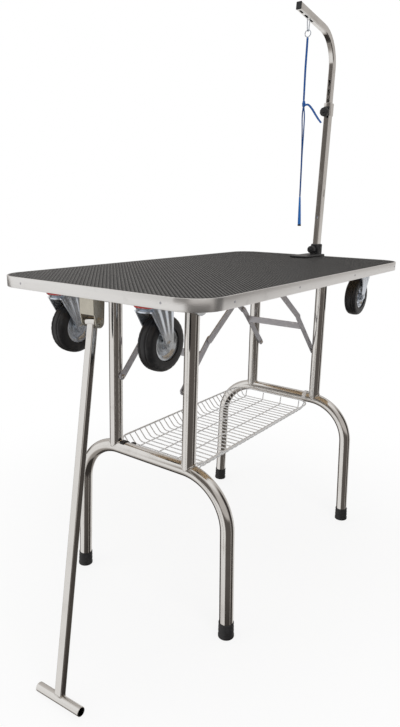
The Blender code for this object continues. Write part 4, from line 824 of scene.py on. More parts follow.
def foot_profile():
    """Ribs down a slightly flared cap, then the sole and the bore for the tube."""
    pitch = (FOOT_HEIGHT - FOOT_FLOOR) / (RIBS + 0.5)
    rows = [(FOOT_TOP - CAP_ROUND, FOOT_HEIGHT), (FOOT_TOP - CAP_CUT, FOOT_HEIGHT - CAP_CUT)]
    for i in range(RIBS):
        top = FOOT_HEIGHT - FOOT_SOFT - i * pitch
        radius = FOOT_TOP + (FOOT_BOTTOM - FOOT_TOP) * (FOOT_HEIGHT - top) / FOOT_HEIGHT
        rows += [(radius, top - pitch * 0.08), (radius, top - pitch * 0.45),
                 (radius - RIB_DEPTH, top - pitch * 0.55),
                 (radius - RIB_DEPTH, top - pitch * 0.85)]
    rows += [(FOOT_BOTTOM, FOOT_FLOOR), (FOOT_BOTTOM, FOOT_SOFT),
             (FOOT_BOTTOM - SOLE_CUT, SOLE_CUT), (FOOT_BOTTOM - FOOT_SOFT, 0.0), (0.0, 0.0),
             (0.0, FOOT_FLOOR), (TUBE + SLIT, FOOT_FLOOR), (TUBE + SLIT, FOOT_HEIGHT)]
    return np.array(rows)


for end, drop in DROPS.items():
    for side, label in ((1, "front"), (-1, "back")):
        y = side * FOOT_Y * (-1 if end == "near" else 1)
        cap = placed(spun(foot_profile(), closed=True), (0.0, y, -drop),
                     about_x=math.copysign(SPLAY, y))
        make_piece(end + "_foot_cap_" + label, on_pivot(cap, end), RUBBER, end + "_leg_frame",
                   (end + "_foot_" + label,), crease=45.0)

# %% [markdown]
# Brackets, clips and the flat links of the braces keep the solids' outlines, with their edges
# rounded as sheared and folded steel is. They could be modelled anew, but their holes and folds
# are right already, and only the sharp edges give a solid away.

# %% Brackets, clips and links
for end in ENDS:
    rounded_copy(end + "_pivot_bracket", ZINC, "table")
    rounded_copy(end + "_brace_bracket", ZINC, "table")
    rounded_copy(end + "_lower_brace", LINK, end + "_lower_links")
    for label in ("front", "back"):
        rounded_copy(end + "_upper_brace_" + label, LINK, end + "_upper_links")
rounded_copy("near_basket_clip", PLASTIC, "near_leg_frame", 0.0008)
rounded_copy("far_basket_clip", WIRE, "far_leg_frame", 0.0008)

# %% [markdown]
# A caster is a pressed top plate with its ball race and red dust ring, a fork that swivels under
# it, and a wheel: a steel centre with a hub and a black rubber tyre. The tyre's tread has two
# grooves, and small cuts run over its shoulders. They are taken off the radius by a formula, so
# that no copy of a cutter has to be set round the wheel.

# %% Tyre
UNDERSIDE = TOP_HEIGHT - TRIM_HEIGHT + TRIM_LIP
TRAIL = 0.038
CASTERS = {"near_caster_front": (-0.498, -0.134, TRAIL), "near_caster_back": (-0.498, 0.134, TRAIL),
           "far_caster_front": (0.505, -0.193, -TRAIL), "far_caster_back": (0.505, 0.193, -TRAIL)}
AXLE_DROP = 0.0922
WHEEL, TYRE_INNER, TYRE_HALF = 0.061, 0.0365, 0.0185
TYRE_BEAD, TYRE_BEAD_RISE = 0.0120, 0.0008
GROOVE_AT, GROOVE_WIDE, GROOVE_DEEP = 0.0070, 0.0011, 0.0016
CUT_AT, CUT_WIDE, CUT_DEEP, CUTS = 0.0145, 0.0022, 0.0010, 30.0


def bell(width, middle, wide):
    """A soft ridge on both sides of the wheel: exp(-((|width| - middle) / wide)^2)."""
    return np.exp(-((np.abs(width) - middle) / wide) ** 2)


def tyre_shape(steps=120, across=40):
    """Section: width = half * sin(s)^0.62 and a rise of cos(s)^0.42 from bead to tread. Grooves
    and cuts are ridges taken off the radius, the cuts only at even steps round the wheel."""
    s = np.linspace(-np.pi / 2.0, np.pi / 2.0, across)
    t = full_turn(steps)
    width = TYRE_HALF * np.sign(np.sin(s)) * np.abs(np.sin(s)) ** 0.62
    rise = np.abs(np.cos(s)) ** 0.42
    base = TYRE_INNER + TYRE_BEAD_RISE
    radius = base + (WHEEL - base) * rise
    radius -= GROOVE_DEEP * bell(width, GROOVE_AT, GROOVE_WIDE) * (rise > 0.8)
    shoulder = CUT_DEEP * bell(width, CUT_AT, CUT_WIDE) * (rise > 0.5)
    cuts = shoulder[:, None] * (np.sin(t * CUTS) > 0.45)
    grid = round_points(radius[:, None] - cuts, t, width[:, None])
    bead = round_points(TYRE_INNER, t, TYRE_BEAD)[None]
    return shape_of(np.concatenate([bead * [1.0, 1.0, -1.0], grid, bead]), True, True)


# %% [markdown]
# The wheel's centre is pressed from two steel discs with rings and a hub, so half a profile is
# written down and mirrored. Tyre and centre are spun lying flat and then stood up on the axle.

# %% Wheel centres and wheels
RIM_PROFILE = [(0.0053, 0.0200), (0.0108, 0.0200), (0.0118, 0.0190), (0.0122, 0.0110),
               (0.0140, 0.0104), (0.0150, 0.0118), (0.0168, 0.0118), (0.0178, 0.0094),
               (0.0198, 0.0090), (0.0206, 0.0102), (0.0226, 0.0102), (0.0236, 0.0082),
               (0.0268, 0.0080), (0.0286, 0.0092), (0.0304, 0.0126), (0.0318, 0.0146),
               (0.0359, 0.0149), (0.0362, 0.0141)]


def wheel_centre():
    """The pressed centre: half a profile on each side of the wheel's middle."""
    half = np.array(RIM_PROFILE)
    return spun(np.concatenate([half, half[::-1] * [1.0, -1.0]]), 64, closed=True)


for name, (x, y, trail) in CASTERS.items():
    hub = dict(at=(x + trail, y, UNDERSIDE - AXLE_DROP), about_x=quarter)
    make_piece(name + "_tread", placed(tyre_shape(), **hub), TYRE, name + "_wheel",
               (name + "_tyre",), crease=50.0)
    make_piece(name + "_wheel_centre", placed(wheel_centre(), **hub), ZINC, name + "_wheel",
               (name + "_rim",))

# %% [markdown]
# The fork and plate keep the solids' outlines, and the fork gets a pair of pressed cheeks with
# stiffening ribs. Round the ball race lies the red ring that keeps dust out of the balls, and
# each plate has its four bolts.

# %% Forks, plates, rings and bolts
FORK_CHEEK, FORK_BOSS, FORK_TOP = 0.0236, 0.0115, 0.0125
CHEEK_OUT, CHEEK_IN, CHEEK_LEAD = 0.0010, 0.0022, 0.0150
CHEEK_RIB, RIB_END, RIB_FADE = 0.0013, 0.072, 0.05
BOLT_X, BOLT_Y = 0.0265, 0.038
RING_PROFILE = [(0.0270, -0.0052), (0.0302, -0.0056), (0.0309, -0.0066), (0.0309, -0.0086),
                (0.0302, -0.0095), (0.0270, -0.0098)]
HEAD_PROFILE = [(0.0, -0.0062), (0.0052, -0.0056), (0.0064, -0.0034), (0.0064, -0.0028),
                (0.0, -0.0028)]


def cheek_shape(trail, side, rows=34, across=30):
    """A pressed cheek: at depth z it runs from a slanting edge to a plumb one behind the axle,
    closed below by the boss's half circle, x = trail +- sqrt(r^2 - (z + drop)^2). Three ribs
    stand on it: y = cheek + h sin^2(3 pi s) for s from 0 to 1 across."""
    reach = abs(trail)
    down = np.linspace(0.0, 1.0, rows)
    round_end = np.linspace(0.0, np.pi / 2.0, 12)[1:-1]
    z = np.concatenate([-FORK_TOP - (AXLE_DROP - FORK_TOP) * down,
                        -AXLE_DROP - FORK_BOSS * np.sin(round_end)])
    back = np.concatenate([np.full(rows, reach + FORK_BOSS),
                           reach + FORK_BOSS * np.cos(round_end)])
    front = np.concatenate([-CHEEK_LEAD + (reach - FORK_BOSS + CHEEK_LEAD) * down ** 0.85,
                            reach - FORK_BOSS * np.cos(round_end)])
    s = np.linspace(0.0, 1.0, across)
    x = front[:, None] + (back - front)[:, None] * s
    fade = np.clip((RIB_END + z) / RIB_FADE, 0.0, 1.0)[:, None]
    rib = CHEEK_RIB * np.sin(3.0 * np.pi * s) ** 2 * fade
    outer = np.stack([math.copysign(1.0, trail) * x, side * (FORK_CHEEK + CHEEK_OUT + rib),
                      np.broadcast_to(z[:, None], x.shape)], -1)
    inner = outer[:, ::-1].copy()
    inner[..., 1] = side * (FORK_CHEEK - CHEEK_IN)
    return shape_of(np.concatenate([outer, inner], 1), False, True, True)


for name, (x, y, trail) in CASTERS.items():
    at = (x, y, UNDERSIDE)
    cheeks = gathered(cheek_shape(trail, 1.0), cheek_shape(trail, -1.0))
    make_piece(name + "_cheeks", placed(cheeks, at), ZINC, name + "_swivel", crease=40.0)
    rounded_copy(name + "_fork", ZINC, name + "_swivel", 0.0010)
    rounded_copy(name + "_plate", ZINC, "table", 0.0005)
    make_piece(name + "_dust_ring", placed(spun(RING_PROFILE, 56, closed=True), at), RED,
               "table")
    heads = [placed(spun(HEAD_PROFILE, 24), (x + side_x * BOLT_X, y + side_y * BOLT_Y, UNDERSIDE))
             for side_x in (-1, 1) for side_y in (-1, 1)]
    make_piece(name + "_plate_bolts", gathered(*heads), ZINC, "table")

# %% [markdown]
# The pull handle is a flat steel tube that hangs from a bolt in its bracket. A short round
# sleeve on the bolt and a round cross grip at the floor are welded to it. All three are made
# upright, with the bolt at the origin, and one function hangs them as the real handle leans.

# %% Pull handle
HANDLE_AT = (-0.527, 0.0, 0.785)
HANDLE_LEAN, HANDLE_TILT = math.radians(15.3), math.radians(6.3)
BAR_X, BAR_Y, BAR_CORNER, BAR_TOP = 0.015, 0.020, 0.0022, 0.004
SLEEVE_RADIUS, SLEEVE_BORE, SLEEVE_HALF = 0.0100, 0.0060, 0.0145
GRIP_LENGTH, GRIP_RADIUS, GRIP_WALL = 0.134, 0.0098, 0.0015
GRIP_WELD, GRIP_WELD_RISE = 0.0014, 0.0085


def hung(shape):
    """Lean a shape of the handle's own frame about Y, tilt it about X and hang it on its bolt."""
    leaned = placed(shape, about_y=HANDLE_LEAN)
    return placed(leaned, HANDLE_AT, about_x=-HANDLE_TILT)


low_end = GRIP_LENGTH / 2.0 * math.sin(HANDLE_TILT) + GRIP_RADIUS * math.cos(HANDLE_TILT)
handle_length = (HANDLE_AT[2] - low_end) / (math.cos(HANDLE_LEAN) * math.cos(HANDLE_TILT))
bar = between((0.0, 0.0, -BAR_TOP), (0.0, 0.0, -handle_length + 0.5 * GRIP_RADIUS),
              soft_box_outline(BAR_Y, BAR_X, BAR_CORNER))
sleeve = placed(pipe(SLEEVE_RADIUS, SLEEVE_BORE, -SLEEVE_HALF, SLEEVE_HALF, 36, 0.0008),
                about_x=quarter)
make_piece("handle_flat_tube", hung(gathered(bar, sleeve)), STEEL, "pull_handle",
           ("handle_bar",))
grip = placed(pipe(GRIP_RADIUS, GRIP_RADIUS - GRIP_WALL, -GRIP_LENGTH / 2.0, GRIP_LENGTH / 2.0,
                   40, 0.0008), (0.0, 0.0, -handle_length), about_x=quarter)
weld_line = level_ring(soft_box_outline(BAR_X, BAR_Y, 0.003, 4),
                       -handle_length + GRIP_WELD_RISE)
weld = carried(ring_outline(GRIP_WELD, 8), weld_line, UPWARD, closed=True)
make_piece("handle_cross_grip", hung(gathered(grip, weld)), STEEL, "pull_handle",
           ("handle_grip",))
rounded_copy("handle_bracket", TAN_ZINC, "table", 0.0005)
print("handle", round(handle_length, 4), "m long")

# %% [markdown]
# The arm is two square tubes, one sliding in the other, held by a black clamp on the table's
# edge. The tubes keep the solids' slots and bend, with rounder edges, because a slot worked out
# again on a bent square tube would gain nothing over the solid's own.

# %% Grooming arm
for name, finish, body, soft in (("clamp_body", PLASTIC, "table", 0.0010),
                                 ("lower_arm_tube", STEEL, "table", 0.0007),
                                 ("upper_arm_tube", STEEL, "arm_top", 0.0007),
                                 ("arm_end_cap", PLASTIC, "arm_top", 0.0005)):
    rounded_copy(name, finish, body, soft)

# %% [markdown]
# Where the tubes slide in each other a thin steel sleeve closes the gap, with a black pad on its
# inner face that the knob turns against. The sleeve is a rounded box section with a wall, wide
# over the lower tube and tight round the upper one.

# %% Sleeve and pad of the height knob
ARM_FOOT_X, ARM_FOOT_Z, ARM_LEAN = 0.5515, 0.8865, math.radians(3.1)
LOWER_TUBE, UPPER_TUBE, ARM_WALL = (0.025, 0.0205), (0.0215, 0.0170), 0.0014
SLEEVE_LOW, SLEEVE_HIGH, SLEEVE_STEP, SLEEVE_WALL = 1.325, 0.0400, 0.0203, 0.0015
PAD_FACE, PAD_BACK, PAD_HEIGHT, PAD_SIZE = -0.0143, -0.0168, 1.338, (0.030, 0.021)


def sleeve_outline(tube, wall, corner):
    """Rounded rectangle round a tube, a slit and a wall away from it."""
    return soft_box_outline(tube[0] + 2.0 * (SLIT + wall), tube[1] + 2.0 * (SLIT + wall),
                            corner, 4)


def leaned(shape, height):
    """Lean a shape with the tube and lift it to a height on it."""
    x = ARM_FOOT_X + (height - ARM_FOOT_Z) * math.tan(ARM_LEAN)
    return placed(shape, (x, 0.0, height), about_y=ARM_LEAN)


outer = sleeve_outline(LOWER_TUBE, SLEEVE_WALL, 0.0026)
inner = sleeve_outline(LOWER_TUBE, 0.0, 0.0020)
tight = sleeve_outline(UPPER_TUBE, 0.0, 0.0020)
rows = [(outer, 0.0), (outer, SLEEVE_HIGH - 0.0005), (outer * 0.985, SLEEVE_HIGH),
        (tight, SLEEVE_HIGH), (tight, SLEEVE_STEP), (inner, SLEEVE_STEP), (inner, 0.0)]
sleeve_grid = np.stack([level_ring(ring, level) for ring, level in rows])
make_piece("height_sleeve", leaned(shape_of(sleeve_grid, True, True), SLEEVE_LOW), STEEL,
           "table", ("height_collar",))
pad = between((PAD_BACK, 0.0, 0.0), (PAD_FACE, 0.0, 0.0), soft_box_outline(*PAD_SIZE, 0.003),
              (0.0, 1.0, 0.0))
make_piece("height_knob_pad", leaned(pad, PAD_HEIGHT), PLASTIC, "table", soft=0.0006)

# %% [markdown]
# The knobs are spun with a lobed rim, so that a hand can turn them. A knob's radius is its
# profile's radius less a share that swells and fades round the axis, with no lobes on the stem.

# %% Knobs
KNOB_HEIGHT = 1.333
SOCKET_KNOB_HEIGHT, SOCKET_KNOB_BACK = 0.8855, 0.0160
HEIGHT_KNOB = [(0.0, 0.0408), (0.0040, 0.0408), (0.0050, 0.0395), (0.0052, 0.0388),
               (0.0112, 0.0388), (0.0138, 0.0376), (0.0145, 0.0355), (0.0145, 0.0250),
               (0.0138, 0.0225), (0.0105, 0.0188), (0.0045, 0.0188), (0.0045, 0.01105),
               (0.0, 0.01105)]
SOCKET_KNOB = [(0.0, 0.0325), (0.0035, 0.0325), (0.0045, 0.0315), (0.0105, 0.0315),
               (0.0121, 0.0305), (0.0125, 0.0290), (0.0125, 0.0150), (0.0118, 0.0132),
               (0.0105, 0.0125), (0.0045, 0.0125), (0.0045, -0.0030), (0.0, -0.0030)]


def lobed(profile, lobes=10, swell=0.045, grip=0.009):
    """Spin a profile whose radius is r (1 - swell (1 - cos(lobes t)) / 2) where it is gripped,
    and lay its axis along -X."""
    profile = np.asarray(profile, float)
    t = full_turn(80)
    held = (profile[:, :1] > grip)
    radius = profile[:, :1] * (1.0 - held * swell * (0.5 - 0.5 * np.cos(lobes * t)))
    grid = round_points(radius, t, profile[:, 1:])
    return placed(shape_of(grid, False, True), about_y=-quarter)


make_piece("height_grip_knob", leaned(lobed(HEIGHT_KNOB), KNOB_HEIGHT), PLASTIC,
           "height_knob_body", ("height_knob",), crease=45.0)
socket_x = (ARM_FOOT_X + (SOCKET_KNOB_HEIGHT - ARM_FOOT_Z) * math.tan(ARM_LEAN)
            - SOCKET_KNOB_BACK)
make_piece("socket_grip_knob", placed(lobed(SOCKET_KNOB), (socket_x, 0.0, SOCKET_KNOB_HEIGHT)),
           PLASTIC, "socket_knob_body", ("socket_knob",), crease=45.0)
rounded_copy("clamp_screw", PLASTIC, "clamp_screw_body", 0.0008)

# %% [markdown]
# The basket is a welded tray of white coated wire: a rim, sloped cross wires and four long wires
# under them. Each wire is a circle carried along its own line, with the bends rounded as the
# coated wire is, and the far end's rim wire turns in the frame's clip. An array of one wire
# would be shorter, but the wires near the round corners are shorter than the others.

# %% Basket
ROD, THIN = 0.0025, 0.0016
RIM_Z, DEPTH = 0.403, 0.026
NEAR_GAP, FAR_GAP = 0.0355, 0.0360
BASKET_Y = (-0.125, 0.158)
BASKET_CORNER = 0.045
CROSS_WIRES, LONG_WIRES, LONG_SPREAD = 29, 4, 0.205
SLOPE, LEAST_SLOPE = 0.024, 0.012
CROSS_BEND, END_BEND, END_RUN = 0.007, 0.004, 0.005
near_x = ENDS["near"][0] - math.tan(LEAN) * ARCH_DROP + NEAR_GAP
far_x = ENDS["far"][0] - FAR_GAP
length, width = far_x - near_x, BASKET_Y[1] - BASKET_Y[0]
middle = (BASKET_Y[0] + BASKET_Y[1]) / 2.0
rod_half = width / 2.0 - BASKET_CORNER - 2.0 * ROD


def basket_rim():
    """The rim's open loop: from one end of the far rod round three sides to the other end."""
    edge = soft_box_outline(length, width, BASKET_CORNER, 10)
    loop = level_ring(edge + [far_x - length / 2.0, middle], RIM_Z)
    half = rod_half + SLIT
    ends = np.array([[far_x, middle + half, RIM_Z], [far_x, middle - half, RIM_Z]])
    return np.concatenate([ends[:1], loop, ends[1:]])


def cross_wire(x):
    """One cross wire: rim, slope, floor, slope, rim; shorter where the rim's corner is round."""
    edge = min(far_x - x, x - near_x)
    inset = 0.0
    if edge < BASKET_CORNER:
        inset = BASKET_CORNER - math.sqrt(BASKET_CORNER ** 2 - (BASKET_CORNER - edge) ** 2)
    half = width / 2.0 - inset
    floor = min(width / 2.0 - SLOPE, half - LEAST_SLOPE)
    line = [(x, middle - half, RIM_Z), (x, middle - floor, RIM_Z - DEPTH),
            (x, middle + floor, RIM_Z - DEPTH), (x, middle + half, RIM_Z)]
    return carried(ring_outline(THIN, 10), softened(line, CROSS_BEND))


def long_wire(y):
    """One long wire under the cross wires, bent up to the rim at both ends."""
    under = RIM_Z - DEPTH - 1.4 * THIN
    end = far_x - ROD - SLIT - THIN
    line = [(near_x, y, RIM_Z), (near_x + END_RUN, y, under), (end - END_RUN, y, under),
            (end, y, RIM_Z - ROD)]
    return carried(ring_outline(THIN, 10), softened(line, END_BEND), (0.0, 1.0, 0.0))


wires = [carried(ring_outline(ROD, 14), basket_rim(), UPWARD)]
wires += [cross_wire(near_x + length / CROSS_WIRES * (i + 0.5)) for i in range(CROSS_WIRES)]
wires += [long_wire(middle + LONG_SPREAD * (i / (LONG_WIRES - 1.0) - 0.5))
          for i in range(LONG_WIRES)]
make_piece("basket_wires", gathered(*wires), WIRE, "basket_tray", ("basket",), crease=60.0)
make_piece("basket_end_rod", between((far_x, middle - rod_half, RIM_Z),
                                     (far_x, middle + rod_half, RIM_Z), ring_outline(ROD, 14),
                                     UPWARD),
           WIRE, "basket_end", ("basket_far_rod",), crease=60.0)
print("basket", round(length, 4), "x", round(width, 4), "m")

# %% [markdown]
# The lead hangs from a snap hook in a slot of the arm: a ring, a woven tape about 6 mm wide, a
# knot, two strands of the loop that end in a band, and a cut tail. The tape is a real length of
# limp material, and each stretch is made as a piece of its own. Its points are listed one by one,
# because a simulated cord would hang straight, and this one keeps the small bends that it has in
# use.

# %% Routes of the lead
LEAD_WIDTH, LEAD_THICK = 0.0064, 0.0013
ARM_RISE, ARM_CORNER = math.radians(7.0), (0.5882, 1.563)
TIP_SLOT, SLOT_PITCH, SLOT_LENGTH = 0.345, 0.033, 0.021
HOOK_HALF, HOOK_NARROW, HOOK_WIRE, HOOK_BOTTOM = 0.0086, 0.0048, 0.0016, 1.5405
RING_RADIUS, RING_WIRE = 0.0095, 0.0014
web_half = (SLOT_PITCH - SLOT_LENGTH) / 2.0
web_middle = TIP_SLOT + 1.5 * SLOT_PITCH
reach = HOOK_HALF - HOOK_WIRE - 2.0 * SLIT
depth = UPPER_TUBE[0] / 2.0 - ARM_WALL + math.sqrt(reach ** 2 - web_half ** 2)
tip_height = ARM_CORNER[1] + (ARM_CORNER[0] - web_middle) * math.tan(ARM_RISE)
hook_x = web_middle - depth * math.sin(ARM_RISE)
hook_z = tip_height - depth * math.cos(ARM_RISE)
ring_top = HOOK_BOTTOM + 2.0 * HOOK_WIRE + SLIT + RING_WIRE
lead_start = (hook_x, 0.0, ring_top - 2.0 * RING_RADIUS - RING_WIRE - SLIT)
UPPER = [lead_start, (0.3931, 0.0004, 1.4950), (0.3926, 0.0012, 1.4400),
         (0.3918, 0.0006, 1.3900), (0.3912, 0.0, 1.3473)]
FRONT = [(0.3925, -0.0012, 1.3277), (0.3938, -0.0040, 1.3000), (0.3965, -0.0030, 1.2500),
         (0.3990, -0.0012, 1.1900), (0.4010, -0.0010, 1.1200), (0.4020, -0.0010, 1.0603)]
BACK = [(0.3925, 0.0012, 1.3277), (0.3940, 0.0036, 1.3000), (0.3968, 0.0020, 1.2500),
        (0.3992, 0.0010, 1.1900), (0.4012, 0.0010, 1.1200), (0.4020, 0.0010, 1.0603)]
TAIL = [(0.3915, -0.0055, 1.3345), (0.3915, -0.0140, 1.3352), (0.3914, -0.0220, 1.3300),
        (0.3912, -0.0320, 1.3190), (0.3908, -0.0430, 1.3040), (0.3905, -0.0540, 1.2900),
        (0.3900, -0.0640, 1.2790)]
print("hook's loop at", round(hook_x, 4), round(hook_z, 4), "ring's top at", round(ring_top, 4))

# %% [markdown]
# The tape's section is a flat oval. At each station it is turned by a slow twist about the
# route: side and lift are mixed by the cosine and sine of that angle. The tape's own UV map runs
# along it and counts the ribs of the weave, so that they follow every bend.

# %% Tape
TAPE_STEPS, RIB_LENGTH = 20, 0.0030


def distances(line):
    """How far each point of a line is from its start, along the line."""
    return np.concatenate([[0.0], np.cumsum(np.linalg.norm(np.diff(line, axis=0), axis=1))])


def smooth_line(points, spacing=0.003):
    """Catmull-Rom through the points, then stations at even distances along it."""
    p = np.asarray(points, float)
    p = np.concatenate([[2.0 * p[0] - p[1]], p, [2.0 * p[-1] - p[-2]]])
    a, b, c, d = (p[i:len(p) - 3 + i, None, :] for i in range(4))
    t = np.linspace(0.0, 1.0, 16, endpoint=False)[None, :, None]
    dense = 0.5 * (2.0 * b + (c - a) * t + (2.0 * a - 5.0 * b + 4.0 * c - d) * t ** 2
                   + (3.0 * b - a - 3.0 * c + d) * t ** 3)
    dense = np.concatenate([dense.reshape(-1, 3), p[-2:-1]])
    travel = distances(dense)
    even = np.linspace(0.0, travel[-1], max(3, round(travel[-1] / spacing)) + 1)
    return np.stack([np.interp(even, travel, dense[:, k]) for k in range(3)], 1), travel[-1]


def tape_shape(line, twist, start_turn):
    """Oval section (w cos t, h sin t) turned by start_turn + twist * distance."""
    side, lift = sides_along(line)
    angle = (start_turn + twist * distances(line))[:, None]
    wide = side * np.cos(angle) + lift * np.sin(angle)
    thin = -side * np.sin(angle) + lift * np.cos(angle)
    half = oval_outline(LEAD_WIDTH, LEAD_THICK, 0.6, TAPE_STEPS)[None, :, :, None]
    grid = line[:, None] + half[:, :, 0] * wide[:, None] + half[:, :, 1] * thin[:, None]
    return shape_of(grid, False, True, True)


def add_tape(name, points, twist, start_turn, node):
    line, travel = smooth_line(points)
    item = make_piece(name, tape_shape(line, twist, start_turn), TAPE, "lead", (node,),
                      crease=70.0, merge=1e-7)
    corner_u = np.repeat(distances(line) / RIB_LENGTH, TAPE_STEPS)
    corner_v = np.tile(np.cos(full_turn(TAPE_STEPS)), len(line))
    vertex = np.zeros(len(item.data.loops), np.int64)
    item.data.loops.foreach_get("vertex_index", vertex)
    chart = item.data.uv_layers.new(name="along_the_tape")
    chart.data.foreach_set("uv", np.stack([corner_u[vertex], corner_v[vertex]], 1)
                           .astype(np.float32).ravel())
    print(name, round(float(travel), 4), "m")


# %% [markdown]
# The hook is bent wire: a wide round top over the arm's web, and a narrower round bottom that
# holds the ring. Both arcs are half circles, and the straight sides follow between them. The
# ring is a circle carried round a circle; a torus would do, but the same function serves both.

# %% Hook and ring
bottom = HOOK_BOTTOM + HOOK_WIRE - hook_z
t_top = np.linspace(0.0, np.pi, 24)
t_low = np.linspace(np.pi, 2.0 * np.pi, 18)
top_arc = np.stack([HOOK_HALF * np.cos(t_top), 0.0 * t_top, HOOK_HALF * np.sin(t_top)], 1)
low_arc = np.stack([HOOK_NARROW * np.cos(t_low), 0.0 * t_low,
                    bottom + HOOK_NARROW * (1.0 + np.sin(t_low))], 1)
wire_loop = np.concatenate([top_arc, low_arc]) + [hook_x, 0.0, hook_z]
make_piece("snap_hook_wire", carried(ring_outline(HOOK_WIRE, 16), wire_loop, (0.0, 1.0, 0.0),
                                     closed=True), ZINC, "hook", ("snap_hook",), crease=60.0)
t = full_turn(48)
loop = np.stack([np.full(len(t), hook_x), RING_RADIUS * np.sin(t),
                 ring_top + RING_RADIUS * (np.cos(t) - 1.0)], 1)
ring = make_piece("lead_wire_ring", carried(ring_outline(RING_WIRE, 14), loop, closed=True),
                  ZINC, "lead", ("lead_ring",), crease=60.0)

# %% [markdown]
# A small tight knot of the same tape ends the strap, and the loop ends in a flat band that
# widens downwards and is sealed by a dark tip. All three are ovals carried down a short line,
# with a width and a depth that change on the way. Waves in them stand for the turns of the knot
# and the stitches of the band.

# %% Knot, band and tip
KNOT_TOP, KNOT_LENGTH, KNOT_SLANT, KNOT_TURNS = (0.3913, -0.0005, 1.3470), 0.0190, 0.0010, 3
BAND_HEAD, BAND_FOOT, STITCHES = np.array([0.4020, 0.0, 1.0598]), np.array([0.4090, 0.0, 0.9725]), 14
TIP_DROPS = np.array([0.0003, 0.0010, 0.0035, 0.0048, 0.0054])


def swelling(line, widths, depths):
    """A full oval carried down a line, with its own width and depth at every station."""
    return carried(oval_outline(1.0, 1.0, 0.75, 28), line, sizes=np.column_stack([widths, depths]))


share = np.linspace(0.0, 1.0, 30)
knot_line = np.array(KNOT_TOP) + share[:, None] * [KNOT_SLANT, 0.0, -KNOT_LENGTH]
bulge = np.sin(np.pi * share) ** 0.6
turns = 1.0 + 0.10 * np.sin(share * 2.0 * np.pi * KNOT_TURNS)
knot = make_piece("lead_knot", swelling(knot_line, (0.0052 + 0.0050 * bulge) * turns,
                                        (0.0040 + 0.0042 * bulge) * turns),
                  TAPE, "lead", ("lead_slider",), crease=60.0)
band_way = BAND_FOOT - BAND_HEAD
stitch = 1.0 + 0.02 * np.sin(share * 2.0 * np.pi * STITCHES)
band = make_piece("loop_band", swelling(BAND_HEAD + band_way * share[:, None],
                                        (0.0055 + 0.0060 * share ** 0.8) * stitch,
                                        0.0044 - 0.0006 * share),
                  TAPE_BAND, "lead", ("lead_loop_end",), crease=60.0)
tip_line = BAND_FOOT + band_way / np.linalg.norm(band_way) * TIP_DROPS[:, None]
tip = make_piece("loop_tip", swelling(tip_line, [0.0112, 0.0122, 0.0122, 0.0114, 0.0100],
                                      [0.0036, 0.0046, 0.0046, 0.0040, 0.0026]),
                 PLASTIC, "lead", crease=60.0)

# %% [markdown]
# Now the four stretches of tape are laid on their routes. They ride on the lead's body, as the
# ring, the knot, the band and the tip do.

# %% Stretches of the lead
add_tape("lead_strap", UPPER, 4.0, 0.3, "lead_upper")
add_tape("lead_loop_front", FRONT, 0.6, 1.45, "lead_strand_front")
add_tape("lead_loop_back", BACK, 0.6, 1.45, "lead_strand_back")
add_tape("lead_tail_end", TAIL, 7.0, 0.3, "lead_tail")

# %% [markdown]
# The floor is a wide pale sheet that fades to plain white away from the table, so that the
# table's own shadow stays and the edge of the floor doesn't show. A shadow catcher could stand
# in for it, but then the light that the floor throws up under the table would be lost.

# %% Floor
HALF_FLOOR = 9.0
WHITE_FROM, WHITE_AT, LEAST_WHITE = 0.45, 1.35, 0.84


def floor_paper():
    """Pale matt paper near the table; past a radius it turns into even white."""
    f = Finish("pale_floor")
    x, y, _ = f.along(f.node("ShaderNodeTexCoord", {}, output="Object"))
    far_out = ((x * x + y * y) ** 0.5).above(WHITE_FROM, WHITE_AT)
    grain = f.noise(40.0)
    f.wear(f.shade(grain * 0.3, (0.80, 0.80, 0.80), (0.78, 0.78, 0.785)), 0.8 + grain * 0.1)
    glow = f.node("ShaderNodeEmission", {}, (1.0, 1.0, 1.0, 1.0), 1.0)
    camera_ray = f.node("ShaderNodeLightPath", {}, output="Is Camera Ray")
    whiten = far_out + (1.0 - far_out) * LEAST_WHITE
    mix = f.node("ShaderNodeMixShader", {}, whiten * camera_ray,
                 Reading(f, f.shader.outputs[0]), glow)
    f.tree.links.new(mix.socket, f.tree.nodes["Material Output"].inputs["Surface"])
    return f.owner


corners = np.array([[-1, -1, 0], [1, -1, 0], [1, 1, 0], [-1, 1, 0]], float) * HALF_FLOOR
floor_mesh = bpy.data.meshes.new("floor")
floor_mesh.from_pydata(corners.tolist(), [], [[0, 1, 2, 3]])
floor_mesh.materials.append(floor_paper())
floor = into_scene("floor", floor_mesh)
floor.visible_glossy = False

# %% [markdown]
# Polished tubes show what stands round them. A white room alone would make them flat white, so
# the room that gloss sees has broad soft dark bands by compass direction, as a studio has
# between its lamps: one set for tubes that mirror the ground, one for the arm, which mirrors
# what stands level with it. The camera itself sees plain white, and the light that falls on
# the table is an even pale grey. Dark cards beside the table could do the same, but they would
# also throw shadows and have to be kept out of the picture.

# %% Room
WALL_LIGHT, GLOSS_LIGHT, DARKEST = 0.55, 0.97, 0.93
GROUND_BANDS = ((-128.0, 0.66, 0.80, 0.76), (-60.0, 0.90, 0.965, 0.80),
                (-12.0, 0.80, 0.92, 0.12), (72.0, 0.80, 0.91, 0.74))
LEVEL_BANDS = ((122.0, 0.90, 0.96, -0.36), (173.0, 0.85, 0.94, 0.41),
               (-57.0, 0.88, 0.97, 0.54))
world = bpy.data.worlds.new("studio")
bpy.context.scene.world = world
room = Finish("studio", world)
dir_x, dir_y, dir_z = room.along(room.node("ShaderNodeTexCoord", {}, output="Generated"))


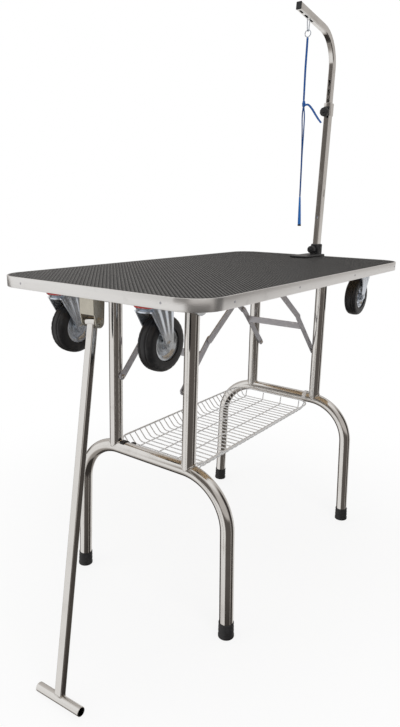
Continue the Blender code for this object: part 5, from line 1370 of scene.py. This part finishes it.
def dark_band(azimuth, low, high):
    """1 where the direction lies within a band round an azimuth, 0 outside, soft between."""
    facing = dir_x * math.cos(math.radians(azimuth)) + dir_y * math.sin(math.radians(azimuth))
    level = (dir_x * dir_x + dir_y * dir_y + 0.0001) ** 0.5
    return (facing / level).above(low, high)


def banded(darkness, bands):
    """A first darkness plus each band times its weight."""
    for azimuth, low, high, weight in bands:
        darkness = darkness + dark_band(azimuth, low, high) * weight
    return darkness


steep = (0.0 - dir_z).above(0.50, 0.80)
over = dir_z.above(-0.10, 0.04)
high_up = dir_z.above(0.55, 0.90)
below = banded(0.10, GROUND_BANDS) + steep * 0.52
bands = below * (1.0 - over) + banded(0.42, LEVEL_BANDS) * over
bands = bands.join("MINIMUM", bands, DARKEST) * (1.0 - high_up * 0.8)
is_camera, is_glossy, is_clear = (
    room.node("ShaderNodeLightPath", {}, output="Is " + kind + " Ray")
    for kind in ("Camera", "Glossy", "Transmission"))
plain = is_camera.join("MAXIMUM", is_camera, is_clear)
seen = is_glossy * (GLOSS_LIGHT - bands) + (1.0 - is_glossy) * WALL_LIGHT
background = room.tree.nodes["Background"].inputs
room.feed(background["Color"], room.shade(is_glossy * bands, PLAIN, (1.0, 0.88, 0.79)))
room.feed(background["Strength"], plain + (1.0 - plain) * seen)
print("room with", len(room.tree.nodes), "nodes")

# %% [markdown]
# Three broad lamps light the table: the key from the camera's side, a fill from the back at the
# handle's end and a soft one from above. Gloss doesn't see them, because their bright squares
# would wash out the dark bands in the tubes.

# %% Lamps
for name, spot, aim, size, power in (
        ("key_lamp", (-1.6, -2.4, 3.2), (0.0, 0.0, 0.7), 2.2, 62.0),
        ("fill_lamp", (-2.6, 1.6, 2.0), (0.0, 0.0, 0.7), 2.4, 22.0),
        ("top_lamp", (0.6, 0.4, 3.6), (0.1, 0.0, 0.8), 2.6, 34.0)):
    lamp_data = bpy.data.lights.new(name, "AREA")
    lamp_data.size = size
    lamp_data.energy = power
    lamp = into_scene(name, lamp_data)
    lamp.location = Vector(spot)
    lamp.rotation_mode = "QUATERNION"
    lamp.rotation_quaternion = (Vector(aim) - Vector(spot)).to_track_quat("-Z", "Y")
    lamp.visible_glossy = False
    print(name, power, "W at", spot)

bpy.context.scene.view_settings.view_transform = "Standard"
